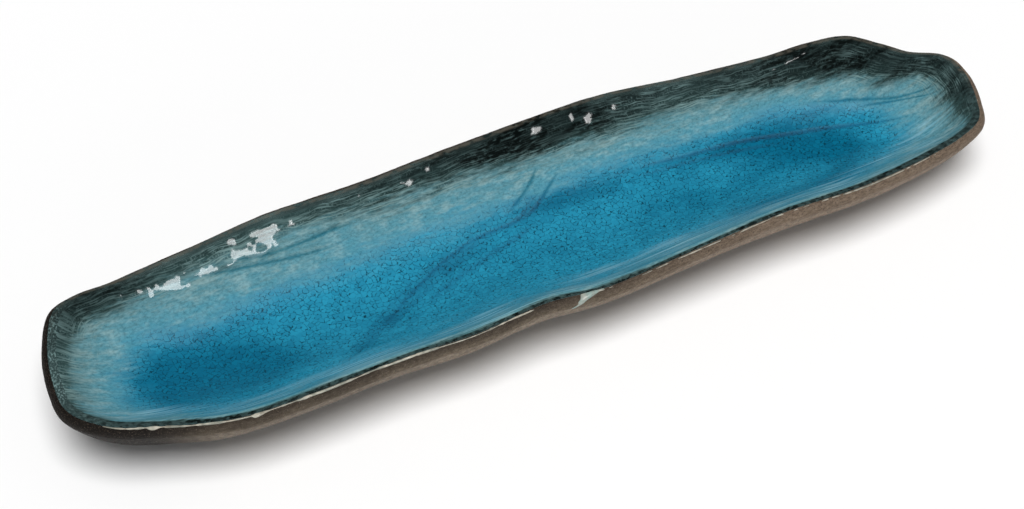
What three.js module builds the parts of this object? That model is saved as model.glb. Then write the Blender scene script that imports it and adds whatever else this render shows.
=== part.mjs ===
// Long serving plate: a slab of stoneware raised into a free-form trough, with a coil foot
// luted under it and three glazes fused over the inside. Millimetres, +Z up, X along the plate.

import * as THREE from 'three';
import { mergeVertices } from 'three/addons/utils/BufferGeometryUtils.js';

// Driving dimensions
const LENGTH = 400; // over the lip, end to end
const WIDTH = 97; // over the lip, side to side
const WELL_DEPTH = 20; // mean crest of the lip down to the clay floor
const RIM_WAVE_HEIGHT = 2.5; // most that the crest rises or dips from its mean
const FLOOR_THICKNESS = 6.5; // clay between the well and the flat base
const LIP_THICKNESS = 6.5; // diameter of the rounded lip
const RIM_SLOPE = 43; // degrees, inner wall where it meets the lip
const OUTER_SLOPE = 64; // degrees, outer wall where it meets the lip
const END_RUN = 60; // crest at an end in to the last hub, the long slope of the end wall
const BASE_INSET = 22; // crest in to the edge of the flat base
const FOOT_HEIGHT = 4; // flat base down to the table
const FOOT_WIDTH = 6; // across the coil where it meets the base
const FOOT_TREAD = 4; // across the worn flat that touches the table
const FOOT_INSET = 1.5; // edge of the flat base in to the coil
const FOOT_SHOULDER = 1 / 3; // share of the coil's taper that lies above its shoulder

// Glazes, each a coat on the clay
const POOL_COAT = 1.6; // over the floor of the well
const RIM_COAT = 0.6; // over the wall just under the lip
const FEATHER_COAT = 0.3; // where a coat ends
const POOL_EDGE = 0.44; // share of the back and end walls where turquoise gives way to celadon
const CELADON_EDGE = 0.77; // share of those walls where celadon gives way to the iron band
const FRONT_POOL_EDGE = 0.72; // the same two on the front wall, where the pool runs higher
const FRONT_CELADON_EDGE = 0.93;
const EDGE_WANDER = 0.035; // how far those edges stray
const GLAZE_STOP = 78; // degrees round the lip from level, where the iron band ends
const BEAD_STOP = 50; // degrees round the lip from level, where the pale bead ends
const BEAD_HEIGHT = 0.8;
const RUN_PLACE = -2; // X of the dribble over the front lip
const RUN_WIDTH = 11; // at the lip
const RUN_TIP_WIDTH = 3; // at its foot
const RUN_LEAN = 7; // how far the foot strays to the left
const RUN_COAT = 0.9;
const RUN_GAP = 0.3; // clearance of the dribble over the clay
const RUN_TOP = 46; // degrees round the lip from level, where the dribble starts
const RUN_FOOT = 0.93; // share of the outer wall where the dribble ends, from base to lip

// Rim, anticlockwise from the right-hand tip: shares of the half length and the half width,
// then the rise over the mean crest as a share of the wave height
const RIM = [
  [0.996, -0.096, -1],
  [0.988, 0.168, -1],
  [0.92, 0.34, -0.6],
  [0.868, 0.51, 0.4],
  [0.814, 0.69, 1],
  [0.738, 0.765, 0.8],
  [0.657, 0.82, 0],
  [0.47, 0.92, -0.4],
  [0.24, 1.0, 0.9],
  [-0.125, 0.98, 0.6],
  [-0.305, 0.95, 0.4],
  [-0.515, 0.93, 0.9],
  [-0.7, 0.855, 0.5],
  [-0.83, 0.79, 0.7],
  [-0.9, 0.775, 0.9],
  [-0.95, 0.7, 0.9],
  [-0.985, 0.4, 0.4],
  [-1.003, -0.02, 0.4],
  [-1.005, -0.4, 0.6],
  [-0.95, -0.635, 0.4],
  [-0.86, -0.79, 0.2],
  [-0.72, -0.95, 0],
  [-0.395, -0.97, 0.2],
  [-0.255, -1.0, 0.2],
  [-0.105, -0.965, 0.4],
  [0.022, -0.99, -0.6],
  [0.25, -0.965, 0],
  [0.43, -0.94, 0.2],
  [0.612, -0.965, 0],
  [0.783, -0.9, -0.2],
  [0.88, -0.81, -0.4],
  [0.937, -0.69, -0.6],
  [0.969, -0.455, -0.8],
];

// Fineness of the meshes
const STATIONS = 92; // sections round the plate, an even number
const HUB_CROWDING = 0.95; // 1 puts all the hubs of an end in one place
const BASE_SMOOTHING = 4; // sections to either side that even out the flat base
const POOL_STEPS = 4;
const CELADON_STEPS = 3;
const IRON_STEPS = 3;
const LIP_STEPS = 3;
const OUTER_STEPS = 6;

// Worked out from the dimensions above
const FLOOR_TOP = FOOT_HEIGHT + FLOOR_THICKNESS;
const CREST_HEIGHT = FLOOR_TOP + WELL_DEPTH;
const LIP_RADIUS = LIP_THICKNESS / 2;
const HALF_LENGTH = LENGTH / 2 - LIP_RADIUS;
const HALF_WIDTH = WIDTH / 2 - LIP_RADIUS;
const HUB_REACH = HALF_LENGTH - END_RUN;
const INNER_TANGENT = 90 + RIM_SLOPE;
const OUTER_TANGENT = OUTER_SLOPE - 90;

const v2 = (x, y) => new THREE.Vector2(x, y);
const radians = THREE.MathUtils.degToRad;
const { clamp, lerp } = THREE.MathUtils;
const steps = (count) => Array.from({ length: count + 1 }, (_, k) => k / count);

// Section through the wall at one place on the rim. It stands on a hub line along the middle
// of the plate, and its plane runs out from the hub to the crest.
class Section {
  constructor(hub, crest, baseReach, turn) {
    this.hub = hub;
    this.crest = crest;
    this.baseReach = baseReach;
    this.outward = v2(crest.x - hub.x, crest.y - hub.y);
    this.reach = this.outward.length();
    this.outward.normalize();
    this.lipCentre = v2(this.reach, crest.z - LIP_RADIUS);
    this.inner = this.innerCurve();
    this.outer = this.outerCurve();
    const stray = EDGE_WANDER * (Math.sin(5 * turn) + 0.6 * Math.sin(11 * turn + 1));
    const front = Math.max(-this.outward.y, 0) ** 2;
    this.poolEdge = lerp(POOL_EDGE, FRONT_POOL_EDGE, front) + stray;
    this.celadonEdge = lerp(CELADON_EDGE, FRONT_CELADON_EDGE, front) + 0.5 * stray;
  }

  // The floor runs flat, then sweeps up to the lip at the rim slope.
  innerCurve() {
    const end = this.lipPoint(INNER_TANGENT);
    const rise = end.y - FLOOR_TOP;
    const knee = Math.max(end.x - rise / Math.tan(radians(RIM_SLOPE)), 0);
    return new THREE.QuadraticBezierCurve(v2(0, FLOOR_TOP), v2(knee, FLOOR_TOP), end);
  }

  // The flat base runs out to its edge, then the underside sweeps up to the lip.
  outerCurve() {
    const end = this.lipPoint(OUTER_TANGENT);
    const edge = v2(this.baseReach, FOOT_HEIGHT);
    const rise = end.y - FOOT_HEIGHT;
    const knee = Math.max(end.x - rise / Math.tan(radians(OUTER_SLOPE)), edge.x);
    return new THREE.QuadraticBezierCurve(edge, v2(knee, FOOT_HEIGHT), end);
  }

  lipNormal(angle) {
    return v2(Math.cos(radians(angle)), Math.sin(radians(angle)));
  }

  lipPoint(angle, lift = 0) {
    return this.lipNormal(angle).multiplyScalar(LIP_RADIUS + lift).add(this.lipCentre);
  }

  // Point on the inner wall, share 0 at the hub and 1 at the lip, lifted off the clay.
  innerPoint(share, lift = 0) {
    const tangent = this.inner.getTangent(share);
    return v2(-tangent.y, tangent.x).multiplyScalar(lift).add(this.inner.getPoint(share));
  }

  // Point on the outer wall, share 0 at the base and 1 at the lip, lifted off the clay.
  outerPoint(share, lift = 0) {
    const tangent = this.outer.getTangent(share);
    return v2(tangent.y, -tangent.x).multiplyScalar(lift).add(this.outer.getPoint(share));
  }

  // Point of the section as a point in the plate's frame.
  place(point) {
    const x = this.hub.x + this.outward.x * point.x;
    const y = this.hub.y + this.outward.y * point.x;
    return new THREE.Vector3(x, y, point.y);
  }
}

// Hub for a share of the way from tip to tip along one side. The hub line is shorter than the
// plate: hubs crowd together at its ends, so that the sections fan out round the plate's ends.
function hubX(share) {
  const endShare = HALF_WIDTH / (2 * (HALF_LENGTH + HALF_WIDTH));
  const alongSide = clamp((share - endShare) / (1 - 2 * endShare), 0, 1);
  return HUB_REACH * lerp(1 - 2 * share, Math.cos(Math.PI * alongSide), HUB_CROWDING);
}

function rimCurve() {
  const points = RIM.map(([x, y, rise]) => {
    return new THREE.Vector3(x * HALF_LENGTH, y * HALF_WIDTH, CREST_HEIGHT + rise * RIM_WAVE_HEIGHT);
  });
  return new THREE.CatmullRomCurve3(points, true, 'centripetal');
}

// Sections facing each other across the plate share a hub, so the hub line closes on itself.
// The flat base follows the rim's sweep and not its ripples.
function makeSections() {
  const crests = rimCurve().getSpacedPoints(STATIONS).slice(0, STATIONS);
  const hubs = crests.map((_, i) => v2(hubX(Math.min(i, STATIONS - i) / (STATIONS / 2)), 0));
  const reaches = crests.map((crest, i) => hubs[i].distanceTo(v2(crest.x, crest.y)));
  return crests.map((crest, i) => {
    const nearby = Array.from({ length: 2 * BASE_SMOOTHING + 1 }, (_, k) => {
      return reaches[(i + k - BASE_SMOOTHING + STATIONS) % STATIONS];
    });
    const sweep = nearby.reduce((sum, reach) => sum + reach) / nearby.length;
    return new Section(hubs[i], crest, sweep - BASE_INSET, (2 * Math.PI * i) / STATIONS);
  });
}

const sections = makeSections();

// Closed skin through rings of points. A loop of rings comes back to its first ring; otherwise
// both end rings close on the hub line. Pieces that share rings share their triangles too: rings
// on the clay run from the outside inwards, and a loop's closing band is the edge where it meets
// the last band of its neighbour, so that band is split the other way.
function skin(rings, isLoop) {
  const positions = rings.flat().flatMap((p) => [p.x, p.y, p.z]);
  const index = [];
  const bands = isLoop ? rings.length : rings.length - 1;
  for (let band = 0; band < bands; band += 1) {
    const isClosing = band === rings.length - 1;
    const one = band * STATIONS;
    const two = ((band + 1) % rings.length) * STATIONS;
    for (let i = 0; i < STATIONS; i += 1) {
      const next = (i + 1) % STATIONS;
      if (isClosing) index.push(one + i, one + next, two + i, one + next, two + next, two + i);
      else index.push(one + i, one + next, two + next, one + i, two + next, two + i);
    }
  }
  return solidFrom(positions, index);
}

// Closed shell between a lower and an upper grid of points of the same size.
function slab(lower, upper) {
  const rows = lower.length;
  const columns = lower[0].length;
  const positions = [...lower.flat(), ...upper.flat()].flatMap((p) => [p.x, p.y, p.z]);
  const index = [];
  const quad = (a, b, c, d) => index.push(a, b, c, a, c, d);
  const at = (row, column) => row * columns + column;
  const top = rows * columns;
  for (let r = 0; r + 1 < rows; r += 1) {
    for (let c = 0; c + 1 < columns; c += 1) {
      quad(at(r, c), at(r + 1, c), at(r + 1, c + 1), at(r, c + 1));
      quad(top + at(r, c), top + at(r, c + 1), top + at(r + 1, c + 1), top + at(r + 1, c));
    }
    const right = columns - 1;
    quad(at(r, 0), top + at(r, 0), top + at(r + 1, 0), at(r + 1, 0));
    quad(at(r, right), at(r + 1, right), top + at(r + 1, right), top + at(r, right));
  }
  const last = rows - 1;
  for (let c = 0; c + 1 < columns; c += 1) {
    quad(at(0, c), at(0, c + 1), top + at(0, c + 1), top + at(0, c));
    quad(at(last, c), top + at(last, c), top + at(last, c + 1), at(last, c + 1));
  }
  return solidFrom(positions, index);
}

// Geometry with shared corners, without empty triangles and with its faces turned outwards.
function solidFrom(positions, index) {
  const raw = new THREE.BufferGeometry();
  raw.setAttribute('position', new THREE.Float32BufferAttribute(positions, 3));
  raw.setIndex(index);
  const merged = mergeVertices(raw, 1e-3);
  const corners = merged.getIndex().array;
  const kept = [];
  let volume = 0;
  const [a, b, c] = [new THREE.Vector3(), new THREE.Vector3(), new THREE.Vector3()];
  const place = merged.getAttribute('position');
  for (let t = 0; t < corners.length; t += 3) {
    const [i, j, k] = [corners[t], corners[t + 1], corners[t + 2]];
    if (i === j || j === k || k === i) continue;
    kept.push(i, j, k);
    a.fromBufferAttribute(place, i);
    b.fromBufferAttribute(place, j);
    c.fromBufferAttribute(place, k);
    volume += a.dot(b.cross(c));
  }
  merged.setIndex(volume < 0 ? kept.reverse() : kept);
  merged.computeVertexNormals();
  return merged;
}

const ring = (pointOf) => sections.map((section) => section.place(pointOf(section)));

// Coat thickness over the inner wall, thick in the well and thin under the lip.
const coat = (share) => RIM_COAT + (POOL_COAT - RIM_COAT) * (1 - share) ** 2;

// Shares of the inner wall at which every coat and the clay under it have a ring
const poolShares = steps(POOL_STEPS).map((k) => (s) => k * s.poolEdge);
const celadonShares = steps(CELADON_STEPS).map((k) => (s) => lerp(s.poolEdge, s.celadonEdge, k));
const ironShares = steps(IRON_STEPS).map((k) => (s) => lerp(s.celadonEdge, 1, k));

// Angles round the lip, from the outer wall over the crest to the inner wall
const BEAD_CREST = (BEAD_STOP + GLAZE_STOP) / 2;
const bareAngles = steps(LIP_STEPS).map((k) => lerp(OUTER_TANGENT, BEAD_STOP, k));
const glazedAngles = steps(LIP_STEPS).map((k) => lerp(GLAZE_STOP, INNER_TANGENT, k));

function stonewareBody() {
  const rings = [
    ring(() => v2(0, FOOT_HEIGHT)),
    ...steps(OUTER_STEPS).slice(0, -1).map((k) => ring((s) => s.outerPoint(k))),
    ...[...bareAngles, BEAD_CREST, ...glazedAngles].map((a) => ring((s) => s.lipPoint(a))),
    ...[...poolShares, ...celadonShares.slice(1), ...ironShares.slice(1, -1)]
      .reverse()
      .map((share) => ring((s) => s.innerPoint(share(s)))),
  ];
  return skin(rings, false);
}

// Coil foot: a tapered band under the flat base, rounded towards its tread on the table.
function footRing() {
  const taper = (FOOT_WIDTH - FOOT_TREAD) / 2;
  const shoulder = taper * FOOT_SHOULDER;
  const outside = (s) => s.baseReach - FOOT_INSET;
  const inside = (s) => outside(s) - FOOT_WIDTH;
  return skin(
    [
      ring((s) => v2(outside(s), FOOT_HEIGHT)),
      ring((s) => v2(inside(s), FOOT_HEIGHT)),
      ring((s) => v2(inside(s) + shoulder, taper)),
      ring((s) => v2(inside(s) + taper, 0)),
      ring((s) => v2(outside(s) - taper, 0)),
      ring((s) => v2(outside(s) - shoulder, taper)),
    ],
    true,
  );
}

function turquoiseGlaze() {
  const clay = poolShares.map((share) => ring((s) => s.innerPoint(share(s))));
  const face = poolShares.map((share) => ring((s) => s.innerPoint(share(s), coat(share(s)))));
  return skin([...face, ...clay.reverse()], false);
}

function celadonGlaze() {
  const clay = celadonShares.map((share) => ring((s) => s.innerPoint(share(s))));
  const face = celadonShares.map((share) => ring((s) => s.innerPoint(share(s), coat(share(s)))));
  return skin([...face, ...clay.reverse()], true);
}

function ironGlaze() {
  const lipCoat = (angle) => {
    return lerp(FEATHER_COAT, RIM_COAT, (angle - GLAZE_STOP) / (INNER_TANGENT - GLAZE_STOP));
  };
  const overLip = glazedAngles.slice(0, -1).reverse();
  const clay = [
    ...ironShares.map((share) => ring((s) => s.innerPoint(share(s)))),
    ...overLip.map((angle) => ring((s) => s.lipPoint(angle))),
  ];
  const face = [
    ...ironShares.map((share) => ring((s) => s.innerPoint(share(s), coat(share(s))))),
    ...overLip.map((angle) => ring((s) => s.lipPoint(angle, lipCoat(angle)))),
  ];
  return skin([...face, ...clay.reverse()], true);
}

function paleLipBead() {
  const shoulder = (BEAD_CREST - BEAD_STOP) / 2;
  return skin(
    [
      ring((s) => s.lipPoint(GLAZE_STOP, FEATHER_COAT)),
      ring((s) => s.lipPoint(BEAD_CREST + shoulder, BEAD_HEIGHT)),
      ring((s) => s.lipPoint(BEAD_CREST - shoulder, BEAD_HEIGHT)),
      ring((s) => s.lipPoint(BEAD_STOP, FEATHER_COAT)),
      ring((s) => s.lipPoint(BEAD_STOP)),
      ring((s) => s.lipPoint(BEAD_CREST)),
      ring((s) => s.lipPoint(GLAZE_STOP)),
    ],
    true,
  );
}

// Point of the front wall at any X, between the sections on either side of it.
function frontPoint(x, pointOf) {
  const front = sections.filter((s) => s.crest.y < 0).sort((a, b) => a.crest.x - b.crest.x);
  const after = Math.max(1, front.findIndex((s) => s.crest.x > x));
  const [left, right] = [front[after - 1], front[after]];
  const share = (x - left.crest.x) / (right.crest.x - left.crest.x);
  return left.place(pointOf(left)).lerp(right.place(pointOf(right)), share);
}

// Dribble: starts under the bead, narrows and leans as it runs down the outer wall. It is full
// along its middle and thin at its sides.
function glazeRun() {
  const overLip = steps(LIP_STEPS + 1).map((k) => lerp(RUN_TOP, OUTER_TANGENT, k));
  const downWall = [
    ...overLip.map((angle) => (lift) => (s) => s.lipPoint(angle, lift)),
    (lift) => (s) => s.outerPoint(RUN_FOOT, lift),
  ];
  const across = steps(4).map((k) => 2 * k - 1);
  const grid = (isFace) =>
    downWall.map((at, row) => {
      const share = row / (downWall.length - 1);
      const middle = RUN_PLACE - RUN_LEAN * share;
      const halfWidth = lerp(RUN_WIDTH, RUN_TIP_WIDTH, Math.sqrt(share)) / 2;
      return across.map((side) => {
        const coatHere = lerp(RUN_COAT, FEATHER_COAT, side * side);
        const lift = RUN_GAP + (isFace ? coatHere : 0);
        return frontPoint(middle + side * halfWidth, at(lift));
      });
    });
  return slab(grid(false), grid(true));
}

const group = new THREE.Group();
group.name = 'long_plate';

function addPiece(name, geometry, colour, roughness) {
  const material = new THREE.MeshStandardMaterial({ color: colour, roughness, metalness: 0 });
  const mesh = new THREE.Mesh(geometry, material);
  mesh.name = name;
  group.add(mesh);
}

addPiece('stoneware_body', stonewareBody(), 0x6b5648, 0.85);
addPiece('foot_ring', footRing(), 0x7d6a5b, 0.9);
addPiece('turquoise_glaze', turquoiseGlaze(), 0x1d8fa6, 0.12);
addPiece('celadon_glaze', celadonGlaze(), 0x8fb9b4, 0.2);
addPiece('iron_rim_glaze', ironGlaze(), 0x2f3a34, 0.25);
addPiece('pale_lip_bead', paleLipBead(), 0xd9d3c4, 0.4);
addPiece('glaze_run', glazeRun(), 0xb9d6d0, 0.25);

// Stand the plate over the middle of its own outline, with the foot's tread on the table.
const outline = new THREE.Box3().setFromObject(group);
const middle = outline.getCenter(new THREE.Vector3());
group.position.set(-middle.x, -middle.y, -outline.min.z);
group.updateMatrixWorld(true);

export default group;
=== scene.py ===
"""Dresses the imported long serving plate: clay body, coil foot, fused glazes, lip bead and dribble.

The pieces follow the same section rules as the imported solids, on finer meshes, and add the relief
that the hand and the kiln leave. Metres, +Z up, X along the plate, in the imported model's frame.
"""

import logging
import math
from dataclasses import dataclass, field
from enum import Enum
from typing import Any, Sequence, Union

import bpy
import numpy as np
from mathutils import Matrix, Vector


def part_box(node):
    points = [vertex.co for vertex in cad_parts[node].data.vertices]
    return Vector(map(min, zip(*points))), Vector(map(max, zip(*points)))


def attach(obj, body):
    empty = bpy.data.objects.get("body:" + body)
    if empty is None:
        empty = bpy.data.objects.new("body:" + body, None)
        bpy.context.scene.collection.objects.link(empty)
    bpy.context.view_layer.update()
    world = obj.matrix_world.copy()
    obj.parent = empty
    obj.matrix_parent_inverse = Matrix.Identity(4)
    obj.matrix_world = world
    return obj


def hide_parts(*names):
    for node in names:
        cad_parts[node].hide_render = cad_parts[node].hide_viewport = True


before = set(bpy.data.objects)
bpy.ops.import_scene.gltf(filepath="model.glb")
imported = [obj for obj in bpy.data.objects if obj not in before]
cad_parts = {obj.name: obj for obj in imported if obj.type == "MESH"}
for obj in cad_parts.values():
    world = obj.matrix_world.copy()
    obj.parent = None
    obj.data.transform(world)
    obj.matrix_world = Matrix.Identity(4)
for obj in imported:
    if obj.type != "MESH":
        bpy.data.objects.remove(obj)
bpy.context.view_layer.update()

Array = np.ndarray
Colour = tuple[float, float, float, float]
Span = tuple[float, float]
Given = Union[float, Sequence[float], bpy.types.NodeSocket]

MM = 0.001
BODY = "root"
IMAGE_WIDTH = 1024
FOCAL_PIXELS = 1900
SENSOR_WIDTH = 36.0

log = logging.getLogger("long_plate")


class Blend(Enum):
    """How a mix node lays one colour over another."""

    MIX = "MIX"
    MULTIPLY = "MULTIPLY"


class Cells(Enum):
    """What a pattern of uneven cells gives: distance to the edge, plain cells or soft ones."""

    EDGE = "DISTANCE_TO_EDGE"
    PLAIN = "F1"
    SOFT = "SMOOTH_F1"


class Coat(Enum):
    """The three fused glazes, each the node that it stands for and its material slot."""

    TURQUOISE = ("turquoise_glaze", "turquoise")
    CELADON = ("celadon_glaze", "celadon")
    IRON = ("iron_rim_glaze", "iron")


def shade(code: str) -> Colour:
    """Turns a written colour into the linear one that shaders take.

    Args:
        code: Six hexadecimal digits, as a colour picker shows them.

    Returns:
        Red, green, blue and alpha in linear light.
    """
    parts = [int(code[k:k + 2], 16) / 255 for k in (0, 2, 4)]
    linear = [c / 12.92 if c <= 0.04045 else ((c + 0.055) / 1.055) ** 2.4 for c in parts]
    return (linear[0], linear[1], linear[2], 1.0)


def smooth(value: Array, low: float, high: float) -> Array:
    """Eased step from 0 at low to 1 at high."""
    share = np.clip((value - low) / (high - low), 0, 1)
    return share * share * (3 - 2 * share)


def lattice(column: Array, row: Array, seed: int) -> Array:
    """Gives every whole-numbered place a value of its own, the same on each run.

    Args:
        column: Whole numbers along the first axis.
        row: Whole numbers along the second axis.
        seed: Picks one of many patterns.

    Returns:
        Values from -1 to 1.
    """
    mixed = (column * 374761393 + row * 668265263 + seed * 2246822519) & 0xFFFFFFFF
    mixed = ((mixed ^ (mixed >> 13)) * 1274126177) & 0xFFFFFFFF
    return ((mixed ^ (mixed >> 16)) & 0xFFFF) / 32767.5 - 1


def noise(x: Array, y: Array, seed: int) -> Array:
    """Smooth uneven field with one swell or so for each unit of x and y.

    Args:
        x: Places along the first axis.
        y: Places along the second axis.
        seed: Picks one of many patterns.

    Returns:
        Values from -1 to 1.
    """
    column = np.floor(x).astype(np.int64)
    row = np.floor(y).astype(np.int64)
    fx, fy = x - column, y - row
    ease_x = fx ** 3 * (fx * (6 * fx - 15) + 10)
    ease_y = fy ** 3 * (fy * (6 * fy - 15) + 10)
    low = lattice(column, row, seed) * (1 - ease_x) + lattice(column + 1, row, seed) * ease_x
    high = lattice(column, row + 1, seed) * (1 - ease_x)
    high = high + lattice(column + 1, row + 1, seed) * ease_x
    return low * (1 - ease_y) + high * ease_y


@dataclass(frozen=True)
class Swell:
    """Uneven swells: how strong, how long and wide in metres, and which of many patterns."""

    strength: float
    length: float
    width: float
    seed: int

    def at(self, x: Array, y: Array, share: Union[float, Array] = 1.0) -> Array:
        """Height of the swells at each place, times the share of them that is there."""
        return self.strength * share * noise(x / self.length, y / self.width, self.seed)


def unit(vectors: Array) -> Array:
    """The same vectors, each of length 1."""
    return vectors / np.maximum(np.linalg.norm(vectors, axis=-1, keepdims=True), 1e-12)


# Rim, anticlockwise from the right-hand tip: shares of the half length and the half width, then
# the rise over the mean crest as a share of the wave height. The front left corner is about
# 3 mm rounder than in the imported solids.
RIM = (
    (0.996, -0.096, -1), (0.988, 0.168, -1), (0.92, 0.34, -0.6), (0.868, 0.51, 0.4),
    (0.814, 0.69, 1), (0.738, 0.765, 0.8), (0.657, 0.82, 0), (0.47, 0.92, -0.4), (0.24, 1.0, 0.9),
    (-0.125, 0.98, 0.6), (-0.305, 0.95, 0.4), (-0.515, 0.93, 0.9), (-0.7, 0.855, 0.5),
    (-0.83, 0.79, 0.7), (-0.9, 0.775, 0.9), (-0.95, 0.7, 0.9), (-0.985, 0.4, 0.4),
    (-1.003, -0.02, 0.4), (-0.9987, -0.334, 0.6), (-0.9465, -0.588, 0.4), (-0.86, -0.76, 0.2),
    (-0.72, -0.95, 0), (-0.395, -0.97, 0.2),
    (-0.255, -1.0, 0.2), (-0.105, -0.965, 0.4), (0.022, -0.99, -0.6), (0.25, -0.965, 0),
    (0.43, -0.94, 0.2), (0.612, -0.965, 0), (0.783, -0.9, -0.2), (0.88, -0.81, -0.4),
    (0.937, -0.69, -0.6), (0.969, -0.455, -0.8),
)


@dataclass
class PlateForm:
    """Sizes of the plate and the rules that give its sections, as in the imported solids."""

    length: float = 400 * MM
    width: float = 97 * MM
    well_depth: float = 20 * MM
    wave_height: float = 2.5 * MM
    floor_thickness: float = 6.5 * MM
    lip_thickness: float = 6.5 * MM
    rim_slope: float = math.radians(43)
    outer_slope: float = math.radians(64)
    end_run: float = 60 * MM
    base_inset: float = 22 * MM
    foot_height: float = 4 * MM
    pool_coat: float = 1.6 * MM
    rim_coat: float = 0.6 * MM
    feather_coat: float = 0.3 * MM
    pool_edge: float = 0.44
    celadon_edge: float = 0.77
    front_pool_edge: float = 0.72
    front_celadon_edge: float = 0.93
    edge_wander: float = 0.035
    # Count, strength and phase of the waves in the edges of the coats, and the upper edge's share
    edge_waves: tuple[tuple[int, float, int], ...] = ((5, 1.0, 0), (11, 0.6, 1))
    celadon_wander: float = 0.5
    glaze_stop: float = math.radians(78)
    hub_crowding: float = 0.95
    sweep_sections: int = 92
    sweep_reach: int = 4
    curve_samples: int = 201
    lip_samples: int = 25
    shift: Array = field(default_factory=lambda: np.zeros(3))

    def __post_init__(self) -> None:
        """Works out what follows from the sizes."""
        self.floor_top = self.foot_height + self.floor_thickness
        self.crest_height = self.floor_top + self.well_depth
        self.lip_radius = self.lip_thickness / 2
        self.half_length = self.length / 2 - self.lip_radius
        self.half_width = self.width / 2 - self.lip_radius
        self.hub_reach = self.half_length - self.end_run
        self.inner_tangent = math.pi / 2 + self.rim_slope
        self.outer_tangent = self.outer_slope - math.pi / 2
        scale = (self.half_length, self.half_width, self.wave_height)
        self.points = np.array(RIM) * scale + (0, 0, self.crest_height)
        ends = self.curve(np.linspace(0, 1, self.curve_samples))
        chords = np.linalg.norm(np.diff(ends, axis=0), axis=1)
        self.run = np.concatenate([[0], np.cumsum(chords)])

    def curve(self, place: Array) -> Array:
        """Smooth closed curve through the rim points.

        Args:
            place: Shares of the way through the points, 0 to 1.

        Returns:
            A point for each place.
        """
        count = len(self.points)
        spot = np.asarray(place) % 1 * count
        first = np.floor(spot).astype(int) % count
        step = (spot - np.floor(spot))[:, None]
        a, b, c, d = (self.points[(first + k) % count] for k in (-1, 0, 1, 2))
        spans = ((a, b), (b, c), (c, d))
        ab, bc, cd = (np.sqrt(np.linalg.norm(q - p, axis=1))[:, None] for p, q in spans)
        leave = ((b - a) / ab - (c - a) / (ab + bc) + (c - b) / bc) * bc
        arrive = ((c - b) / bc - (d - b) / (bc + cd) + (d - c) / cd) * bc
        square = -3 * b + 3 * c - 2 * leave - arrive
        cube = 2 * b - 2 * c + leave + arrive
        return b + step * (leave + step * (square + step * cube))

    def crest(self, turns: Array) -> Array:
        """Crest of the lip, evenly spaced by length.

        Args:
            turns: Shares of the way round from the right-hand tip.

        Returns:
            A point for each share.
        """
        places = np.linspace(0, 1, self.curve_samples)
        return self.curve(np.interp(turns % 1 * self.run[-1], self.run, places))

    def hub_x(self, turns: Array) -> Array:
        """Where the section of each share stands on the line along the middle of the plate.

        Args:
            turns: Shares of the way round from the right-hand tip.

        Returns:
            The X of each hub.
        """
        share = 2 * np.minimum(turns % 1, 1 - turns % 1)
        end_share = self.half_width / (2 * (self.half_length + self.half_width))
        along = np.clip((share - end_share) / (1 - 2 * end_share), 0, 1)
        even, crowded = 1 - 2 * share, np.cos(np.pi * along)
        return self.hub_reach * (even + (crowded - even) * self.hub_crowding)

    def reach(self, turns: Array) -> Array:
        """Distance in plan from hub to crest.

        Args:
            turns: Shares of the way round from the right-hand tip.

        Returns:
            A distance for each share.
        """
        crest = self.crest(turns)
        return np.hypot(crest[:, 0] - self.hub_x(turns), crest[:, 1])

    def coat(self, share: Array) -> Array:
        """Thickness of the glaze over the inner wall, thick in the well and thin under the lip."""
        return self.rim_coat + (self.pool_coat - self.rim_coat) * (1 - share) ** 2

    def align(self) -> None:
        """Moves the form to where the packed clay body stands."""
        turns = np.arange(self.sweep_sections) / self.sweep_sections
        angles = np.linspace(self.outer_tangent, self.inner_tangent, self.lip_samples)
        coarse = Sections(self, turns).lip(angles)[0]
        low, high = (np.array(corner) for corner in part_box("stoneware_body"))
        middle = (coarse.reshape(-1, 3).min(0) + coarse.reshape(-1, 3).max(0)) / 2
        self.shift = np.array([*((low + high) / 2 - middle)[:2], low[2] - self.foot_height])


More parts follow.
